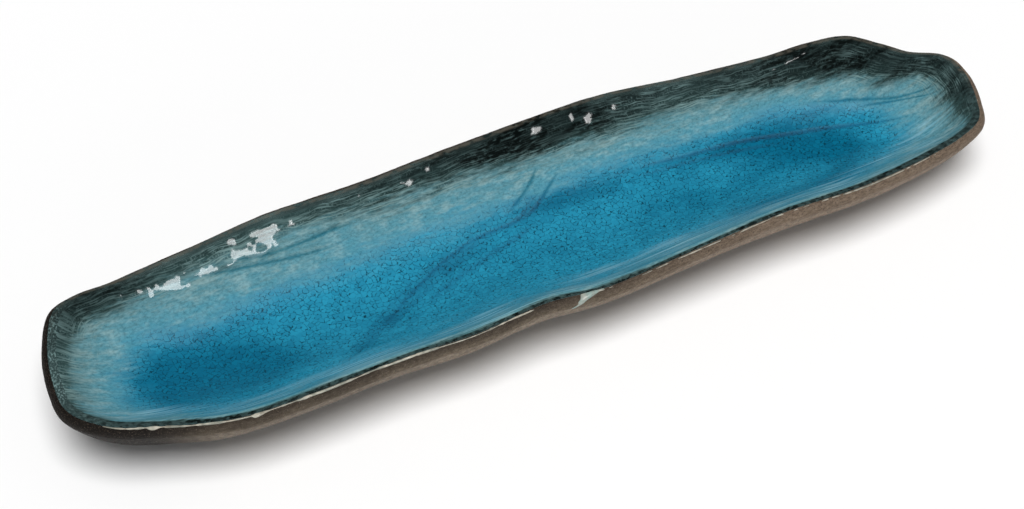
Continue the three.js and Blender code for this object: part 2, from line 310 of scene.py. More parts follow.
class Sections:
    """Sections through the wall at many places round the rim."""

    def __init__(self, form: PlateForm, turns: Array) -> None:
        """Stands a section at each share of the way round.

        Args:
            form: The plate's sizes.
            turns: Shares of the way round from the right-hand tip.
        """
        self.form, self.turns = form, turns
        self.crest = form.crest(turns)
        self.hub = form.hub_x(turns)
        plan = self.crest[:, :2] - np.stack([self.hub, 0 * self.hub], 1)
        self.reach = np.linalg.norm(plan, axis=1)
        self.outward = plan / self.reach[:, None]
        near = range(-form.sweep_reach, form.sweep_reach + 1)
        sweep = np.mean([form.reach(turns + k / form.sweep_sections) for k in near], axis=0)
        self.base_reach = sweep - form.base_inset
        angle = 2 * np.pi * turns
        waves = (much * np.sin(count * angle + phase) for count, much, phase in form.edge_waves)
        stray = form.edge_wander * sum(waves)
        front = np.maximum(-self.outward[:, 1], 0) ** 2
        rise = form.front_pool_edge - form.pool_edge
        self.pool_edge = form.pool_edge + rise * front + stray
        rise = form.front_celadon_edge - form.celadon_edge
        self.celadon_edge = form.celadon_edge + rise * front + form.celadon_wander * stray

    def place(self, run: Array, height: Array) -> Array:
        """Turns distances from the hub and heights into points of the plate.

        Args:
            run: Distance out from the hub, a row for each section.
            height: Height, in the same layout.

        Returns:
            Points, with X, Y and Z along the last axis.
        """
        x = self.hub[:, None] + self.outward[:, :1] * run
        y = self.outward[:, 1:] * run
        return np.stack([x, y, height + 0 * run], -1) + self.form.shift

    def face(self, run: Array, height: Array) -> Array:
        """Turns directions in the section into directions of the plate.

        Args:
            run: Part of the direction away from the hub, a row for each section.
            height: Part of the direction upwards.

        Returns:
            Directions of length 1, with X, Y and Z along the last axis.
        """
        x, y = self.outward[:, :1] * run, self.outward[:, 1:] * run
        return unit(np.stack([x, y, height + 0 * run], -1))

    def sweep(self, corners: Sequence[tuple[Array, Array]], share: Array) -> tuple[Array, ...]:
        """Curve of a section between two ends, bent towards a knee.

        Args:
            corners: Run and height of the first end, the knee and the last end.
            share: Places on the curve, 0 to 1, a row for each section or one for all.

        Returns:
            Run, height, and the run and height of the direction along the curve.
        """
        share = np.broadcast_to(share, (len(self.turns), np.shape(share)[-1]))
        (r0, h0), (r1, h1), (r2, h2) = ((run[:, None], height[:, None]) for run, height in corners)
        back = 1 - share
        run = back * back * r0 + 2 * back * share * r1 + share * share * r2
        height = back * back * h0 + 2 * back * share * h1 + share * share * h2
        along = back * (r1 - r0) + share * (r2 - r1)
        rise = back * (h1 - h0) + share * (h2 - h1)
        size = np.maximum(np.hypot(along, rise), 1e-9)
        return run, height, along / size, rise / size

    def inner(self, share: Array, lift: Union[float, Array] = 0.0) -> tuple[Array, Array]:
        """Inner wall, from the hub up to the lip.

        Args:
            share: 0 at the hub to 1 at the lip, a row for each section or one for all.
            lift: Distance off the clay.

        Returns:
            Points and the directions that the wall faces.
        """
        form = self.form
        end_run = self.reach + form.lip_radius * math.cos(form.inner_tangent)
        end_height = self.crest[:, 2] + form.lip_radius * (math.sin(form.inner_tangent) - 1)
        knee = np.maximum(end_run - (end_height - form.floor_top) / math.tan(form.rim_slope), 0)
        floor = np.full_like(knee, form.floor_top)
        corners = ((0 * knee, floor), (knee, floor), (end_run, end_height))
        run, height, along, rise = self.sweep(corners, share)
        return self.place(run - rise * lift, height + along * lift), self.face(-rise, along)

    def lip(self, angle: Array, lift: Union[float, Array] = 0.0) -> tuple[Array, Array]:
        """Rounded lip.

        Args:
            angle: Angles round the lip from level, a row for each section or one for all.
            lift: Distance off the clay.

        Returns:
            Points and the directions that the lip faces.
        """
        angle = np.broadcast_to(angle, (len(self.turns), np.shape(angle)[-1]))
        radius = self.form.lip_radius + lift
        run = self.reach[:, None] + radius * np.cos(angle)
        height = self.crest[:, 2:] - self.form.lip_radius + radius * np.sin(angle)
        return self.place(run, height), self.face(np.cos(angle), np.sin(angle))

    def outer(self, share: Array, lift: Union[float, Array] = 0.0) -> tuple[Array, Array]:
        """Underside of the wall, from the edge of the flat base up to the lip.

        Args:
            share: 0 at the base to 1 at the lip, a row for each section or one for all.
            lift: Distance off the clay.

        Returns:
            Points and the directions that the wall faces.
        """
        form = self.form
        end_run = self.reach + form.lip_radius * math.cos(form.outer_tangent)
        end_height = self.crest[:, 2] + form.lip_radius * (math.sin(form.outer_tangent) - 1)
        base = np.full_like(end_run, form.foot_height)
        knee = end_run - (end_height - base) / math.tan(form.outer_slope)
        knee = np.maximum(knee, self.base_reach)
        corners = ((self.base_reach, base), (knee, base), (end_run, end_height))
        run, height, along, rise = self.sweep(corners, share)
        return self.place(run + rise * lift, height - along * lift), self.face(rise, -along)


def shares(count: int) -> Array:
    """Even steps from 0 to 1."""
    return np.arange(count + 1) / count


def blend_rows(first: Array, last: Array, steps: Array) -> Array:
    """Rows from one edge to another, a row for each section."""
    return first[:, None] + (last - first)[:, None] * steps


def grid_normals(grid: Array, facing: Array) -> Array:
    """Directions that a grid of points faces, where its first axis runs round the plate.

    Args:
        grid: Points, by section and row.
        facing: Rough directions, which settle the sign.

    Returns:
        A direction for each point.
    """
    around = np.roll(grid, -1, 0) - np.roll(grid, 1, 0)
    across = np.gradient(grid, axis=1)
    normal = unit(np.cross(around, across))
    sign = np.sign((normal * facing).sum(-1, keepdims=True))
    return normal * np.where(sign == 0, 1, sign)


class Shell:
    """Mesh of rings round the plate, which may close on the hub line or on themselves."""

    def __init__(self, name: str) -> None:
        """Starts an empty shell with the name of its piece."""
        self.name = name
        self.rings: list[Array] = []
        self.normals: list[Array] = []
        self.values: dict[str, list[Array]] = {}

    def add(self, grid: Array, normals: Array, **values: Array) -> None:
        """Adds rows of a grid, each as one ring.

        Args:
            grid: Points, by section and row.
            normals: Direction for each point.
            **values: Further numbers or vectors for each point, by name.
        """
        for row in range(grid.shape[1]):
            self.rings.append(grid[:, row])
            self.normals.append(normals[:, row])
            for key, rows in values.items():
                self.values.setdefault(key, []).append(rows[:, row])

    def build(self, is_loop: bool) -> bpy.types.Object:
        """Makes the object, with its normals and its named values.

        Args:
            is_loop: Whether the last ring joins the first one. If not, both close on the hub line.

        Returns:
            The new object, linked to the scene.
        """
        count, rows = len(self.rings[0]), len(self.rings)
        index = np.arange(count * rows).reshape(rows, count)
        if not is_loop:
            fold = np.minimum(np.arange(count), (count - np.arange(count)) % count)
            index[0], index[-1] = index[0][fold], index[-1][fold]
        upper = np.concatenate([index[1:], index[:1]]) if is_loop else index[1:]
        lower = index if is_loop else index[:-1]
        quads = np.stack([lower, np.roll(lower, -1, 1), np.roll(upper, -1, 1), upper], -1)
        quads = quads.reshape(-1, 4)
        kept = np.unique(quads)
        renumber = np.zeros(count * rows, np.int64)
        renumber[kept] = np.arange(len(kept))
        quads = renumber[quads]
        points = np.concatenate(self.rings)[kept]
        corners = points[quads]
        facets = np.cross(corners[:, 2] - corners[:, 0], corners[:, 3] - corners[:, 1])
        if np.einsum("ij,ij->", corners.mean(1) - points.mean(0), facets) < 0:
            quads = quads[:, ::-1]
        mesh = bpy.data.meshes.new(self.name)
        mesh.from_pydata(points.tolist(), [], quads.tolist())
        mesh.polygons.foreach_set("use_smooth", np.ones(len(quads), bool))
        for key, rings in self.values.items():
            self.store(mesh, key, np.concatenate(rings)[kept])
        mesh.normals_split_custom_set(np.concatenate(self.normals)[kept][quads.ravel()].tolist())
        piece = bpy.data.objects.new(self.name, mesh)
        bpy.context.scene.collection.objects.link(piece)
        return piece

    @staticmethod
    def store(mesh: bpy.types.Mesh, key: str, values: Array) -> None:
        """Keeps a number or a vector for each vertex.

        Args:
            mesh: The mesh that gets the values.
            key: Name of the attribute.
            values: One row for each vertex.
        """
        is_vector = values.ndim == 2
        layer = mesh.attributes.new(key, "FLOAT_VECTOR" if is_vector else "FLOAT", "POINT")
        flat = values.astype(np.float32).ravel()
        layer.data.foreach_set("vector" if is_vector else "value", flat)


class Recipe:
    """Node tree of one finish, with a short call for each kind of node."""

    def __init__(self, name: str) -> None:
        """Starts a material with its surface shader."""
        self.material = bpy.data.materials.new(name)
        self.material.use_nodes = True
        self.tree = self.material.node_tree
        self.surface = self.tree.nodes["Principled BSDF"]

    def node(self, kind: str, inputs: dict[Any, Given], **settings: Any) -> bpy.types.Node:
        """Adds a node.

        Args:
            kind: Blender's name for the node.
            inputs: What goes into its sockets, by name or number.
            **settings: The node's own options.

        Returns:
            The new node.
        """
        made = self.tree.nodes.new(kind)
        for key, setting in settings.items():
            setattr(made, key, setting)
        for key, given in inputs.items():
            self.feed(made.inputs[key], given)
        return made

    def feed(self, socket: bpy.types.NodeSocket, given: Given) -> None:
        """Links an output to a socket, or writes a value on it.

        Args:
            socket: The socket to fill.
            given: An output socket, a number or a row of numbers.
        """
        if isinstance(given, bpy.types.NodeSocket):
            self.tree.links.new(given, socket)
        else:
            socket.default_value = given

    def value(self, name: str) -> bpy.types.NodeSocket:
        """Number that the mesh keeps for each vertex."""
        return self.node("ShaderNodeAttribute", {}, attribute_name=name).outputs["Fac"]

    def vector(self, name: str) -> bpy.types.NodeSocket:
        """Vector that the mesh keeps for each vertex."""
        return self.node("ShaderNodeAttribute", {}, attribute_name=name).outputs["Vector"]

    def math(self, operation: str, *given: Given) -> bpy.types.NodeSocket:
        """Sum, product or other sum-like step on numbers."""
        return self.node("ShaderNodeMath", dict(enumerate(given)), operation=operation).outputs[0]

    def times(self, *given: Given) -> bpy.types.NodeSocket:
        """Product of two or more numbers."""
        product = given[0]
        for factor in given[1:]:
            product = self.math("MULTIPLY", product, factor)
        return product

    def step(self, given: Given, low: float, high: float) -> bpy.types.NodeSocket:
        """Eased step from 0 at low to 1 at high, or the other way where low is the larger.

        Args:
            given: The number that is tested.
            low: Where the step starts.
            high: Where it ends.

        Returns:
            The step as a number.
        """
        ends = {0: given, 1: min(low, high), 2: max(low, high)}
        ends |= {3: float(low > high), 4: float(low < high)}
        return self.node("ShaderNodeMapRange", ends, interpolation_type="SMOOTHSTEP").outputs[0]

    def vectors(self, operation: str, *given: Given) -> bpy.types.bpy_prop_collection:
        """Sum, product or other step on vectors, with all that comes out of it."""
        inputs = dict(enumerate(given))
        return self.node("ShaderNodeVectorMath", inputs, operation=operation).outputs

    def bent(self, place: Given, swells: float, reach: Sequence[float]) -> bpy.types.NodeSocket:
        """Texture place that strays unevenly.

        Args:
            place: Texture place.
            swells: Swells in each metre.
            reach: Most that each part strays.

        Returns:
            The new place.
        """
        inputs = {"Vector": place, "Scale": swells, "Detail": 2.0}
        drift = self.node("ShaderNodeTexNoise", inputs).outputs["Color"]
        return self.vectors("MULTIPLY_ADD", drift, reach, place)[0]

    def cells(self, place: Given, scale: float, kind: Cells) -> bpy.types.bpy_prop_collection:
        """Pattern of uneven cells.

        Args:
            place: Texture place.
            scale: Cells in each metre.
            kind: What the pattern gives.

        Returns:
            All that comes out of the pattern.
        """
        inputs = {"Vector": place, "Scale": scale, "Randomness": 1.0}
        settings = {"feature": kind.value, "voronoi_dimensions": "2D"}
        return self.node("ShaderNodeTexVoronoi", inputs, **settings).outputs

    def noise(self, place: Given, scale: Sequence[float], detail: float) -> bpy.types.NodeSocket:
        """Uneven field, about 0.5 on average.

        Args:
            place: Texture place.
            scale: Swells in each metre along two axes, or along all three.
            detail: Finer layers.

        Returns:
            The field as a number.
        """
        spread = self.vectors("MULTIPLY", place, (*scale, 1.0)[:3])[0]
        made = self.node("ShaderNodeTexNoise", {"Vector": spread, "Scale": 1.0, "Detail": detail})
        return made.outputs[0]

    def mix(
        self, factor: Given, low: Given, high: Given, how: Blend = Blend.MIX
    ) -> bpy.types.NodeSocket:
        """Lays one colour over another.

        Args:
            factor: How much of the second colour.
            low: First colour.
            high: Second colour.
            how: Way of mixing.

        Returns:
            The mixed colour.
        """
        inputs = {0: factor, 6: low, 7: high}
        return self.node("ShaderNodeMix", inputs, data_type="RGBA", blend_type=how.value).outputs[2]

    def ramp(self, factor: Given, stops: Sequence[tuple[float, str]]) -> bpy.types.NodeSocket:
        """Colour that changes along a number.

        Args:
            factor: The number.
            stops: Places from 0 to 1, each with its written colour.

        Returns:
            The colour.
        """
        made = self.node("ShaderNodeValToRGB", {0: factor})
        elements = made.color_ramp.elements
        while len(elements) < len(stops):
            elements.new(1.0)
        for element, (place, code) in zip(elements, stops):
            element.position, element.color = place, shade(code)
        return made.outputs[0]

    def bump(self, height: Given, distance: float) -> bpy.types.NodeSocket:
        """Fine relief, too small for the mesh.

        Args:
            height: Height from 0 to 1.
            distance: Depth in metres.

        Returns:
            The changed normal.
        """
        inputs = {"Height": height, "Distance": distance, "Strength": 1.0}
        return self.node("ShaderNodeBump", inputs).outputs[0]


ZONE_TOP = 3.0
Stops = tuple[tuple[float, str], ...]


@dataclass(frozen=True)
class Patch:
    """Uneven patches: swells in each metre, finer layers, and where a patch starts and is full."""

    scale: tuple[float, ...]
    detail: float
    span: Span

    def on(self, r: Recipe, place: Given) -> bpy.types.NodeSocket:
        """The patches as a number from 0 to 1, at each texture place."""
        return r.step(r.noise(place, self.scale, self.detail), *self.span)


@dataclass(frozen=True)
class Stray:
    """Uneven shift: swells in each metre, how far it goes both ways together, and finer layers."""

    scale: Span
    reach: float
    detail: float = 3.0

    def on(self, r: Recipe, place: Given, start: Given) -> bpy.types.NodeSocket:
        """The number it starts from, shifted unevenly at each texture place."""
        swell = r.math("SUBTRACT", r.noise(place, self.scale, self.detail), 0.5)
        return r.math("MULTIPLY_ADD", swell, self.reach, start)


@dataclass(frozen=True)
class GlazeFinish:
    """Fused glaze: turquoise crackle in the well, pale celadon, and iron black at the rim."""

    deep: str = "026b8b"
    crack: str = "01222e"
    furrow: str = "8cc4d0"
    cream: str = "a8c1c0"
    streak: str = "8dbfd0"
    black: str = "060c0b"
    thread: str = "7f9c9b"
    worn: str = "5d5950"
    stops: Stops = (
        (0.0, "2391b2"), (0.7, "2593b4"), (0.95, "3698b6"), (1.15, "4894ab"), (1.45, "5a98a8"),
        (1.8, "5f909a"), (2.2, "445f5e"), (3.0, "354646"),
    )
    cell_tones: Stops = ((0.0, "d6e3e7"), (1.0, "fdfefe"))
    grain_tones: Stops = ((0.35, "d6dfe0"), (0.6, "ffffff"))
    # Shifts of the zones, in streaks on the wall and stronger at the front, and of the well's depth
    strays: tuple[Stray, ...] = (
        Stray((24, 60), 0.7), Stray((50, 240), 0.6), Stray((260, 620), 0.45),
    )
    wall_streaks: Stray = Stray((40, 650), 0.3)
    depths: Stray = Stray((30, 60), 1.1, 4.0)
    front_gain: float = 2.5
    # Zones, 0 in the well to 3 in the dark band, between which each change comes about
    slope: Span = (0.5, 1.3)
    pool: Span = (1.5, 0.85)
    satin: Span = (0.9, 1.5)
    lit_from: Span = (0.75, 1.1)
    lit_until: Span = (2.0, 1.5)
    creamy_from: Span = (1.05, 1.6)
    creamy_until: Span = (2.3, 1.8)
    grained_from: Span = (1.0, 1.5)
    grained_until: Span = (2.7, 2.2)
    crazed_until: Span = (2.1, 1.7)
    lined_from: Span = (1.5, 2.1)
    inked_from: Span = (1.72, 2.45)
    # Metres across and along the plate, between which the front and the left end begin
    front_side: Span = (-0.005, -0.03)
    left_end: Span = (-0.176, -0.19)
    # Crackle: cells in each metre, how its lines bend, how wide they are, and the painted shade on
    # one side
    cells: float = 470.0
    cell_bends: float = 620.0
    cell_bend: tuple[float, ...] = (0.0028, 0.0028, 0.0)
    line_width: Span = (0.14, 0.02)
    painted_shade_lean: tuple[float, ...] = (-0.6, -0.8, 0.0)
    painted_shade_span: Span = (-0.35, 0.2)
    broken: Patch = Patch((150, 150), 3.0, (0.24, 0.5))
    crack_strength: float = 0.85
    faint_cracks: float = 0.3
    # Cream: spots in each metre, how wide they are, which of them show, and the clouds between
    spots: float = 270.0
    spot_width: Span = (0.5, 0.1)
    picked: Span = (0.6, 0.9)
    spot_strength: float = 0.5
    small_clouds: Patch = Patch((150, 260), 6.0, (0.4, 0.7))
    large_clouds: Patch = Patch((35, 90), 2.0, (0.3, 0.55))
    cream_strength: float = 0.46
    grain_scale: Span = (640, 900)
    # Light streaks on the front wall
    fine_streaks: Patch = Patch((14, 620), 3.0, (0.42, 0.66))
    broad_streaks: Patch = Patch((30, 60), 2.0, (0.35, 0.6))
    streak_strength: float = 0.85
    # Dark band: its blotches and flecks, the least of it that they leave, and the gaps at the front
    blotches: Patch = Patch((55, 130), 4.0, (0.36, 0.6))
    flecks: Patch = Patch((330, 420), 3.0, (0.34, 0.56))
    blotch_strength: float = 0.26
    least_ink: float = 0.78
    gaps: Patch = Patch((420, 420), 3.0, (0.58, 0.42))
    gap_strength: float = 0.6
    inkless: Span = (0.9, 0.3)
    # Texture of the clay that shows through the dark band, and how ink and the front hide it
    line_bends: float = 60.0
    line_bend: tuple[float, ...] = (0.004, 0.004, 0.004)
    lines: Patch = Patch((120, 120, 2100), 3.0, (0.46, 0.64))
    hairs: Patch = Patch((1000, 1000, 110), 2.0, (0.45, 0.66))
    grains: Patch = Patch((1300, 1300, 1300), 2.0, (0.5, 0.7))
    grain_strength: float = 0.6
    thin: Patch = Patch((45, 130), 3.0, (0.3, 0.7))
    least_thin: float = 0.25
    bare_net: float = 1.1
    inked_net: float = 0.98
    front_net: float = 0.7
    # Wear of the crest
    crest_wear: Span = (0.3, 0.65)
    wear: Patch = Patch((300, 300), 3.0, (0.3, 0.6))
    wear_strength: float = 0.6
    # Shine and fine relief
    well_roughness: float = 0.28
    rim_roughness: float = 0.85
    drop_roughness: float = 0.06
    groove_roughness: float = 0.5
    shine: float = 0.5
    dulling: float = 0.9
    relief_scale: Span = (420, 420)
    net_relief: float = 0.4
    relief: float = 0.05 * MM

    def material(self, name: str) -> bpy.types.Material:
        """Builds the glaze as a material.

        Args:
            name: Name of the material.

        Returns:
            The new material.
        """
        r = Recipe(name)
        lay = r.vector("lay")
        sides = r.node("ShaderNodeSeparateXYZ", {0: lay}).outputs
        front = r.step(sides[1], *self.front_side)
        left = r.step(sides[0], *self.left_end)
        zone = self.zones(r, lay, front)
        stops = [(at / ZONE_TOP, code) for at, code in self.stops]
        colour = r.ramp(r.math("DIVIDE", zone, ZONE_TOP), stops)
        colour = self.pool_tones(r, lay, zone, colour)
        colour = self.mottle(r, lay, zone, colour)
        colour = r.mix(self.streaks(r, lay, front), colour, shade(self.streak))
        ink = self.ink(r, lay, zone, front)
        colour = r.mix(ink, colour, shade(self.black))
        net = self.net(r, lay, zone, ink, front, left)
        colour = r.mix(net, colour, shade(self.thread))
        furrow = r.times(r.value("groove"), r.step(ink, *self.inkless))
        colour = r.mix(furrow, colour, shade(self.furrow), Blend.MULTIPLY)
        worn = r.times(r.step(r.value("crest"), *self.crest_wear), self.wear.on(r, lay))
        worn = r.times(worn, r.value("bare"), self.wear_strength)
        colour = r.mix(worn, colour, shade(self.worn))
        r.feed(r.surface.inputs["Base Color"], colour)
        self.polish(r, lay, zone, net)
        return r.material

    def zones(self, r: Recipe, lay: Given, front: Given) -> bpy.types.NodeSocket:
        """Place between the well and the lip, shifted unevenly and in long streaks.

        Args:
            r: Recipe that gets the nodes.
            lay: Texture place.
            front: Where the front wall is.

        Returns:
            0 to 1 in the well, to 2 in the celadon, to 3 in the dark band.
        """
        plain = r.value("zone")
        zone = plain
        for stray in self.strays:
            zone = stray.on(r, lay, zone)
        streaks = self.wall_streaks.on(r, lay, 0.0)
        streaks = r.times(streaks, r.math("MULTIPLY_ADD", front, self.front_gain, 1.0))
        return r.math("ADD", zone, r.times(streaks, r.step(plain, *self.slope)))

    def pool_tones(self, r: Recipe, lay: Given, zone: Given, colour: Given) -> bpy.types.NodeSocket:
        """Deep and light patches of the well, its crackle with painted shade to one side, and cell
        tones.

        Args:
            r: Recipe that gets the nodes.
            lay: Texture place.
            zone: Place between the well and the lip.
            colour: Colour so far.

        Returns:
            The new colour.
        """
        pool = r.step(zone, *self.pool)
        depth = self.depths.on(r, lay, r.value("deep"))
        colour = r.mix(r.times(r.step(depth, 0.0, 1.0), pool), colour, shade(self.deep))
        bent = r.bent(lay, self.cell_bends, self.cell_bend)
        edge = r.cells(bent, self.cells, Cells.EDGE)["Distance"]
        cell = r.cells(bent, self.cells, Cells.PLAIN)
        tone = r.node("ShaderNodeSeparateColor", {0: cell["Color"]}).outputs[0]
        colour = r.mix(pool, colour, r.ramp(tone, self.cell_tones), Blend.MULTIPLY)
        # The crackle's own dark lines show only on one side of each cell: painted shade, as if domed
        # cells were lit from the other side.
        off = r.vectors("SUBTRACT", bent, cell["Position"])[0]
        lean = [part * self.cells for part in self.painted_shade_lean]
        painted_shade_side = r.vectors("DOT_PRODUCT", off, lean)["Value"]
        line = r.times(r.step(edge, *self.line_width), r.step(painted_shade_side, *self.painted_shade_span))
        faint = r.times(r.step(zone, *self.crazed_until), self.faint_cracks)
        crazed = r.math("MAXIMUM", pool, faint)
        line = r.times(line, self.broken.on(r, lay), crazed, self.crack_strength)
        return r.mix(line, colour, shade(self.crack))

    def mottle(self, r: Recipe, lay: Given, zone: Given, colour: Given) -> bpy.types.NodeSocket:
        """Cream spots and clouds where the celadon breaks.

        Args:
            r: Recipe that gets the nodes.
            lay: Texture place.
            zone: Place between the well and the lip.
            colour: Colour so far.

        Returns:
            The new colour.
        """
        spot = r.cells(lay, self.spots, Cells.SOFT)
        pick = r.node("ShaderNodeSeparateColor", {0: spot["Color"]}).outputs[1]
        dots = r.times(r.step(spot["Distance"], *self.spot_width), r.step(pick, *self.picked))
        dots = r.times(dots, self.spot_strength)
        clouds = r.times(self.small_clouds.on(r, lay), self.large_clouds.on(r, lay))
        band = r.times(r.step(zone, *self.creamy_from), r.step(zone, *self.creamy_until))
        cream = r.times(r.math("MAXIMUM", dots, clouds), band, self.cream_strength)
        colour = r.mix(cream, colour, shade(self.cream))
        grain = r.ramp(r.noise(lay, self.grain_scale, 3.0), self.grain_tones)
        band = r.times(r.step(zone, *self.grained_from), r.step(zone, *self.grained_until))
        return r.mix(band, colour, grain, Blend.MULTIPLY)

    def streaks(self, r: Recipe, lay: Given, front: Given) -> bpy.types.NodeSocket:
        """Light streaks along the front wall.

        Args:
            r: Recipe that gets the nodes.
            lay: Texture place.
            front: Where the front wall is.

        Returns:
            How light the streaks are.
        """
        plain = r.value("zone")
        lit = r.times(self.fine_streaks.on(r, lay), self.broad_streaks.on(r, lay), front)
        lit = r.times(lit, r.step(plain, *self.lit_from), r.step(plain, *self.lit_until))
        return r.times(lit, self.streak_strength)

    def ink(self, r: Recipe, lay: Given, zone: Given, front: Given) -> bpy.types.NodeSocket:
        """How black the dark band is, with its blotches and its gaps at the front.

        Args:
            r: Recipe that gets the nodes.
            lay: Texture place.
            zone: Place between the well and the lip.
            front: Where the front wall is.

        Returns:
            0 where there is no black, and 1 or more where it is full.
        """
        blotch = r.times(self.blotches.on(r, lay), self.flecks.on(r, lay))
        blotch = r.math("MULTIPLY_ADD", blotch, self.blotch_strength, self.least_ink)
        gaps = r.times(self.gaps.on(r, lay), front, self.gap_strength)
        filled = r.math("SUBTRACT", 1.0, gaps)
        return r.times(r.step(zone, *self.inked_from), r.value("ink"), blotch, filled)

    def net(
        self, r: Recipe, lay: Given, zone: Given, ink: Given, front: Given, left: Given
    ) -> bpy.types.NodeSocket:
        """Texture of the clay where the dark glaze thins: lines along the rim, hairs and grains.

        Args:
            r: Recipe that gets the nodes.
            lay: Texture place.
            zone: Place between the well and the lip.
            ink: How black the glaze is.
            front: Where the front wall is.
            left: Where the left end is, which has hairs across the rim in place of the lines.

        Returns:
            How much of the texture shows.
        """
        ring = r.vector("ring")
        bent = r.bent(ring, self.line_bends, self.line_bend)
        lines = r.times(self.lines.on(r, bent), r.math("SUBTRACT", 1.0, left))
        lines = r.math("MAXIMUM", lines, r.times(self.hairs.on(r, ring), left))
        grains = r.times(self.grains.on(r, ring), self.grain_strength)
        thin = self.thin.on(r, lay)
        thin = r.math("MULTIPLY_ADD", thin, 1 - self.least_thin, self.least_thin)
        net = r.times(r.math("MAXIMUM", lines, grains), thin, r.step(zone, *self.lined_from))
        net = r.times(net, r.math("MULTIPLY_ADD", ink, -self.inked_net, self.bare_net))
        return r.times(net, r.math("MULTIPLY_ADD", front, -self.front_net, 1.0))

    def polish(self, r: Recipe, lay: Given, zone: Given, net: Given) -> None:
        """Sets the shine and the fine relief.

        Args:
            r: Recipe that gets the nodes.
            lay: Texture place.
            zone: Place between the well and the lip.
            net: How much of the clay's texture shows.
        """
        satin, drop = r.step(zone, *self.satin), r.value("drop")
        roughening = self.rim_roughness - self.well_roughness
        rough = r.math("MULTIPLY_ADD", satin, roughening, self.well_roughness)
        rough = r.times(rough, r.math("MULTIPLY_ADD", drop, self.drop_roughness - 1, 1.0))
        rough = r.math("MULTIPLY_ADD", r.value("groove"), self.groove_roughness, rough)
        r.feed(r.surface.inputs["Roughness"], rough)
        dull = r.math("MULTIPLY_ADD", satin, -self.dulling, 1.0)
        shine = r.times(r.math("MAXIMUM", dull, drop), self.shine)
        r.feed(r.surface.inputs["Specular IOR Level"], shine)
        fine = r.math("ADD", r.noise(lay, self.relief_scale, 2.0), r.times(net, self.net_relief))
        fine = r.times(fine, r.math("SUBTRACT", 1.0, drop))
        r.feed(r.surface.inputs["Normal"], r.bump(fine, self.relief))


@dataclass(frozen=True)
class ClayFinish:
    """Bare stoneware, its tone with painted bounce light: dark under the lip, paler towards the
    base.
    """

    # The clay's own tone with painted bounce light from the floor: paler towards the base, darker
    # under the lip.
    stops: Stops = (
        (0.0, "9a8f80"), (0.3, "a3988a"), (0.5, "958877"), (0.62, "736859"), (0.75, "574e43"),
        (0.88, "463e35"), (1.0, "332d27"),
    )
    mottle_tones: Stops = ((0.3, "a59d95"), (0.7, "ffffff"))
    scorched: str = "15120f"
    red: str = "a08b78"
    speck: str = "2b221d"
    grit: str = "a08f7e"
    stray: Stray = Stray((40, 90), 0.35)
    scorch_strength: float = 0.85
    flush_strength: float = 0.45
    mottle_scale: Span = (420, 520)
    mottle_strength: float = 0.8
    specks: Patch = Patch((1300, 1300), 2.0, (0.52, 0.66))
    speck_strength: float = 0.6
    grits: Patch = Patch((1900, 1900), 1.0, (0.62, 0.74))
    grit_strength: float = 0.35
    roughness: float = 0.82
    speck_gloss: float = 0.15
    shine: float = 0.3
    relief_scale: Span = (900, 900)
    speck_depth: float = 0.4
    relief: float = 0.18 * MM

    def material(self, name: str) -> bpy.types.Material:
        """Builds the clay as a material.

        Args:
            name: Name of the material.

        Returns:
            The new material.
        """
        r = Recipe(name)
        lay = r.vector("lay")
        colour = r.ramp(self.stray.on(r, lay, r.value("wall")), self.stops)
        scorch = r.times(r.value("scorch"), self.scorch_strength)
        colour = r.mix(scorch, colour, shade(self.scorched))
        flush = r.times(r.value("flush"), self.flush_strength)
        colour = r.mix(flush, colour, shade(self.red))
        mottle = r.ramp(r.noise(lay, self.mottle_scale, 4.0), self.mottle_tones)
        colour = r.mix(self.mottle_strength, colour, mottle, Blend.MULTIPLY)
        specks = self.specks.on(r, lay)
        colour = r.mix(r.times(specks, self.speck_strength), colour, shade(self.speck))
        grit = r.times(self.grits.on(r, lay), self.grit_strength)
        colour = r.mix(grit, colour, shade(self.grit))
        r.feed(r.surface.inputs["Base Color"], colour)
        rough = r.math("MULTIPLY_ADD", specks, -self.speck_gloss, self.roughness)
        r.feed(r.surface.inputs["Roughness"], rough)
        r.feed(r.surface.inputs["Specular IOR Level"], self.shine)
        pits = r.times(specks, -self.speck_depth)
        fine = r.math("ADD", r.noise(lay, self.relief_scale, 3.0), pits)
        r.feed(r.surface.inputs["Normal"], r.bump(fine, self.relief))
        return r.material


@dataclass(frozen=True)
class BeadFinish:
    """Pale glaze that draws up into a bead or a dribble at its edge."""

    pale: str = "b9b2a3"
    dull: str = "7f7a6d"
    tint: str = "93b0aa"
    pales: Patch = Patch((260, 500), 3.0, (0.35, 0.65))
    tints: Patch = Patch((150, 150), 2.0, (0.3, 0.6))
    rough_scale: Span = (300, 300)
    rough_spread: float = 0.3
    least_rough: float = 0.15
    relief_scale: Span = (700, 700)
    relief: float = 0.1 * MM

    def material(self, name: str, tinted: float) -> bpy.types.Material:
        """Builds the pale glaze as a material.

        Args:
            name: Name of the material.
            tinted: Share of blue-green in it.

        Returns:
            The new material.
        """
        r = Recipe(name)
        lay = r.vector("lay")
        colour = r.mix(self.pales.on(r, lay), shade(self.dull), shade(self.pale))
        clouds = r.times(self.tints.on(r, lay), tinted)
        colour = r.mix(clouds, colour, shade(self.tint))
        r.feed(r.surface.inputs["Base Color"], colour)
        uneven = r.noise(lay, self.rough_scale, 2.0)
        rough = r.math("MULTIPLY_ADD", uneven, self.rough_spread, self.least_rough)
        r.feed(r.surface.inputs["Roughness"], rough)
        fine = r.noise(lay, self.relief_scale, 2.0)
        r.feed(r.surface.inputs["Normal"], r.bump(fine, self.relief))
        return r.material


FULL_GROOVE = 0.22 * MM


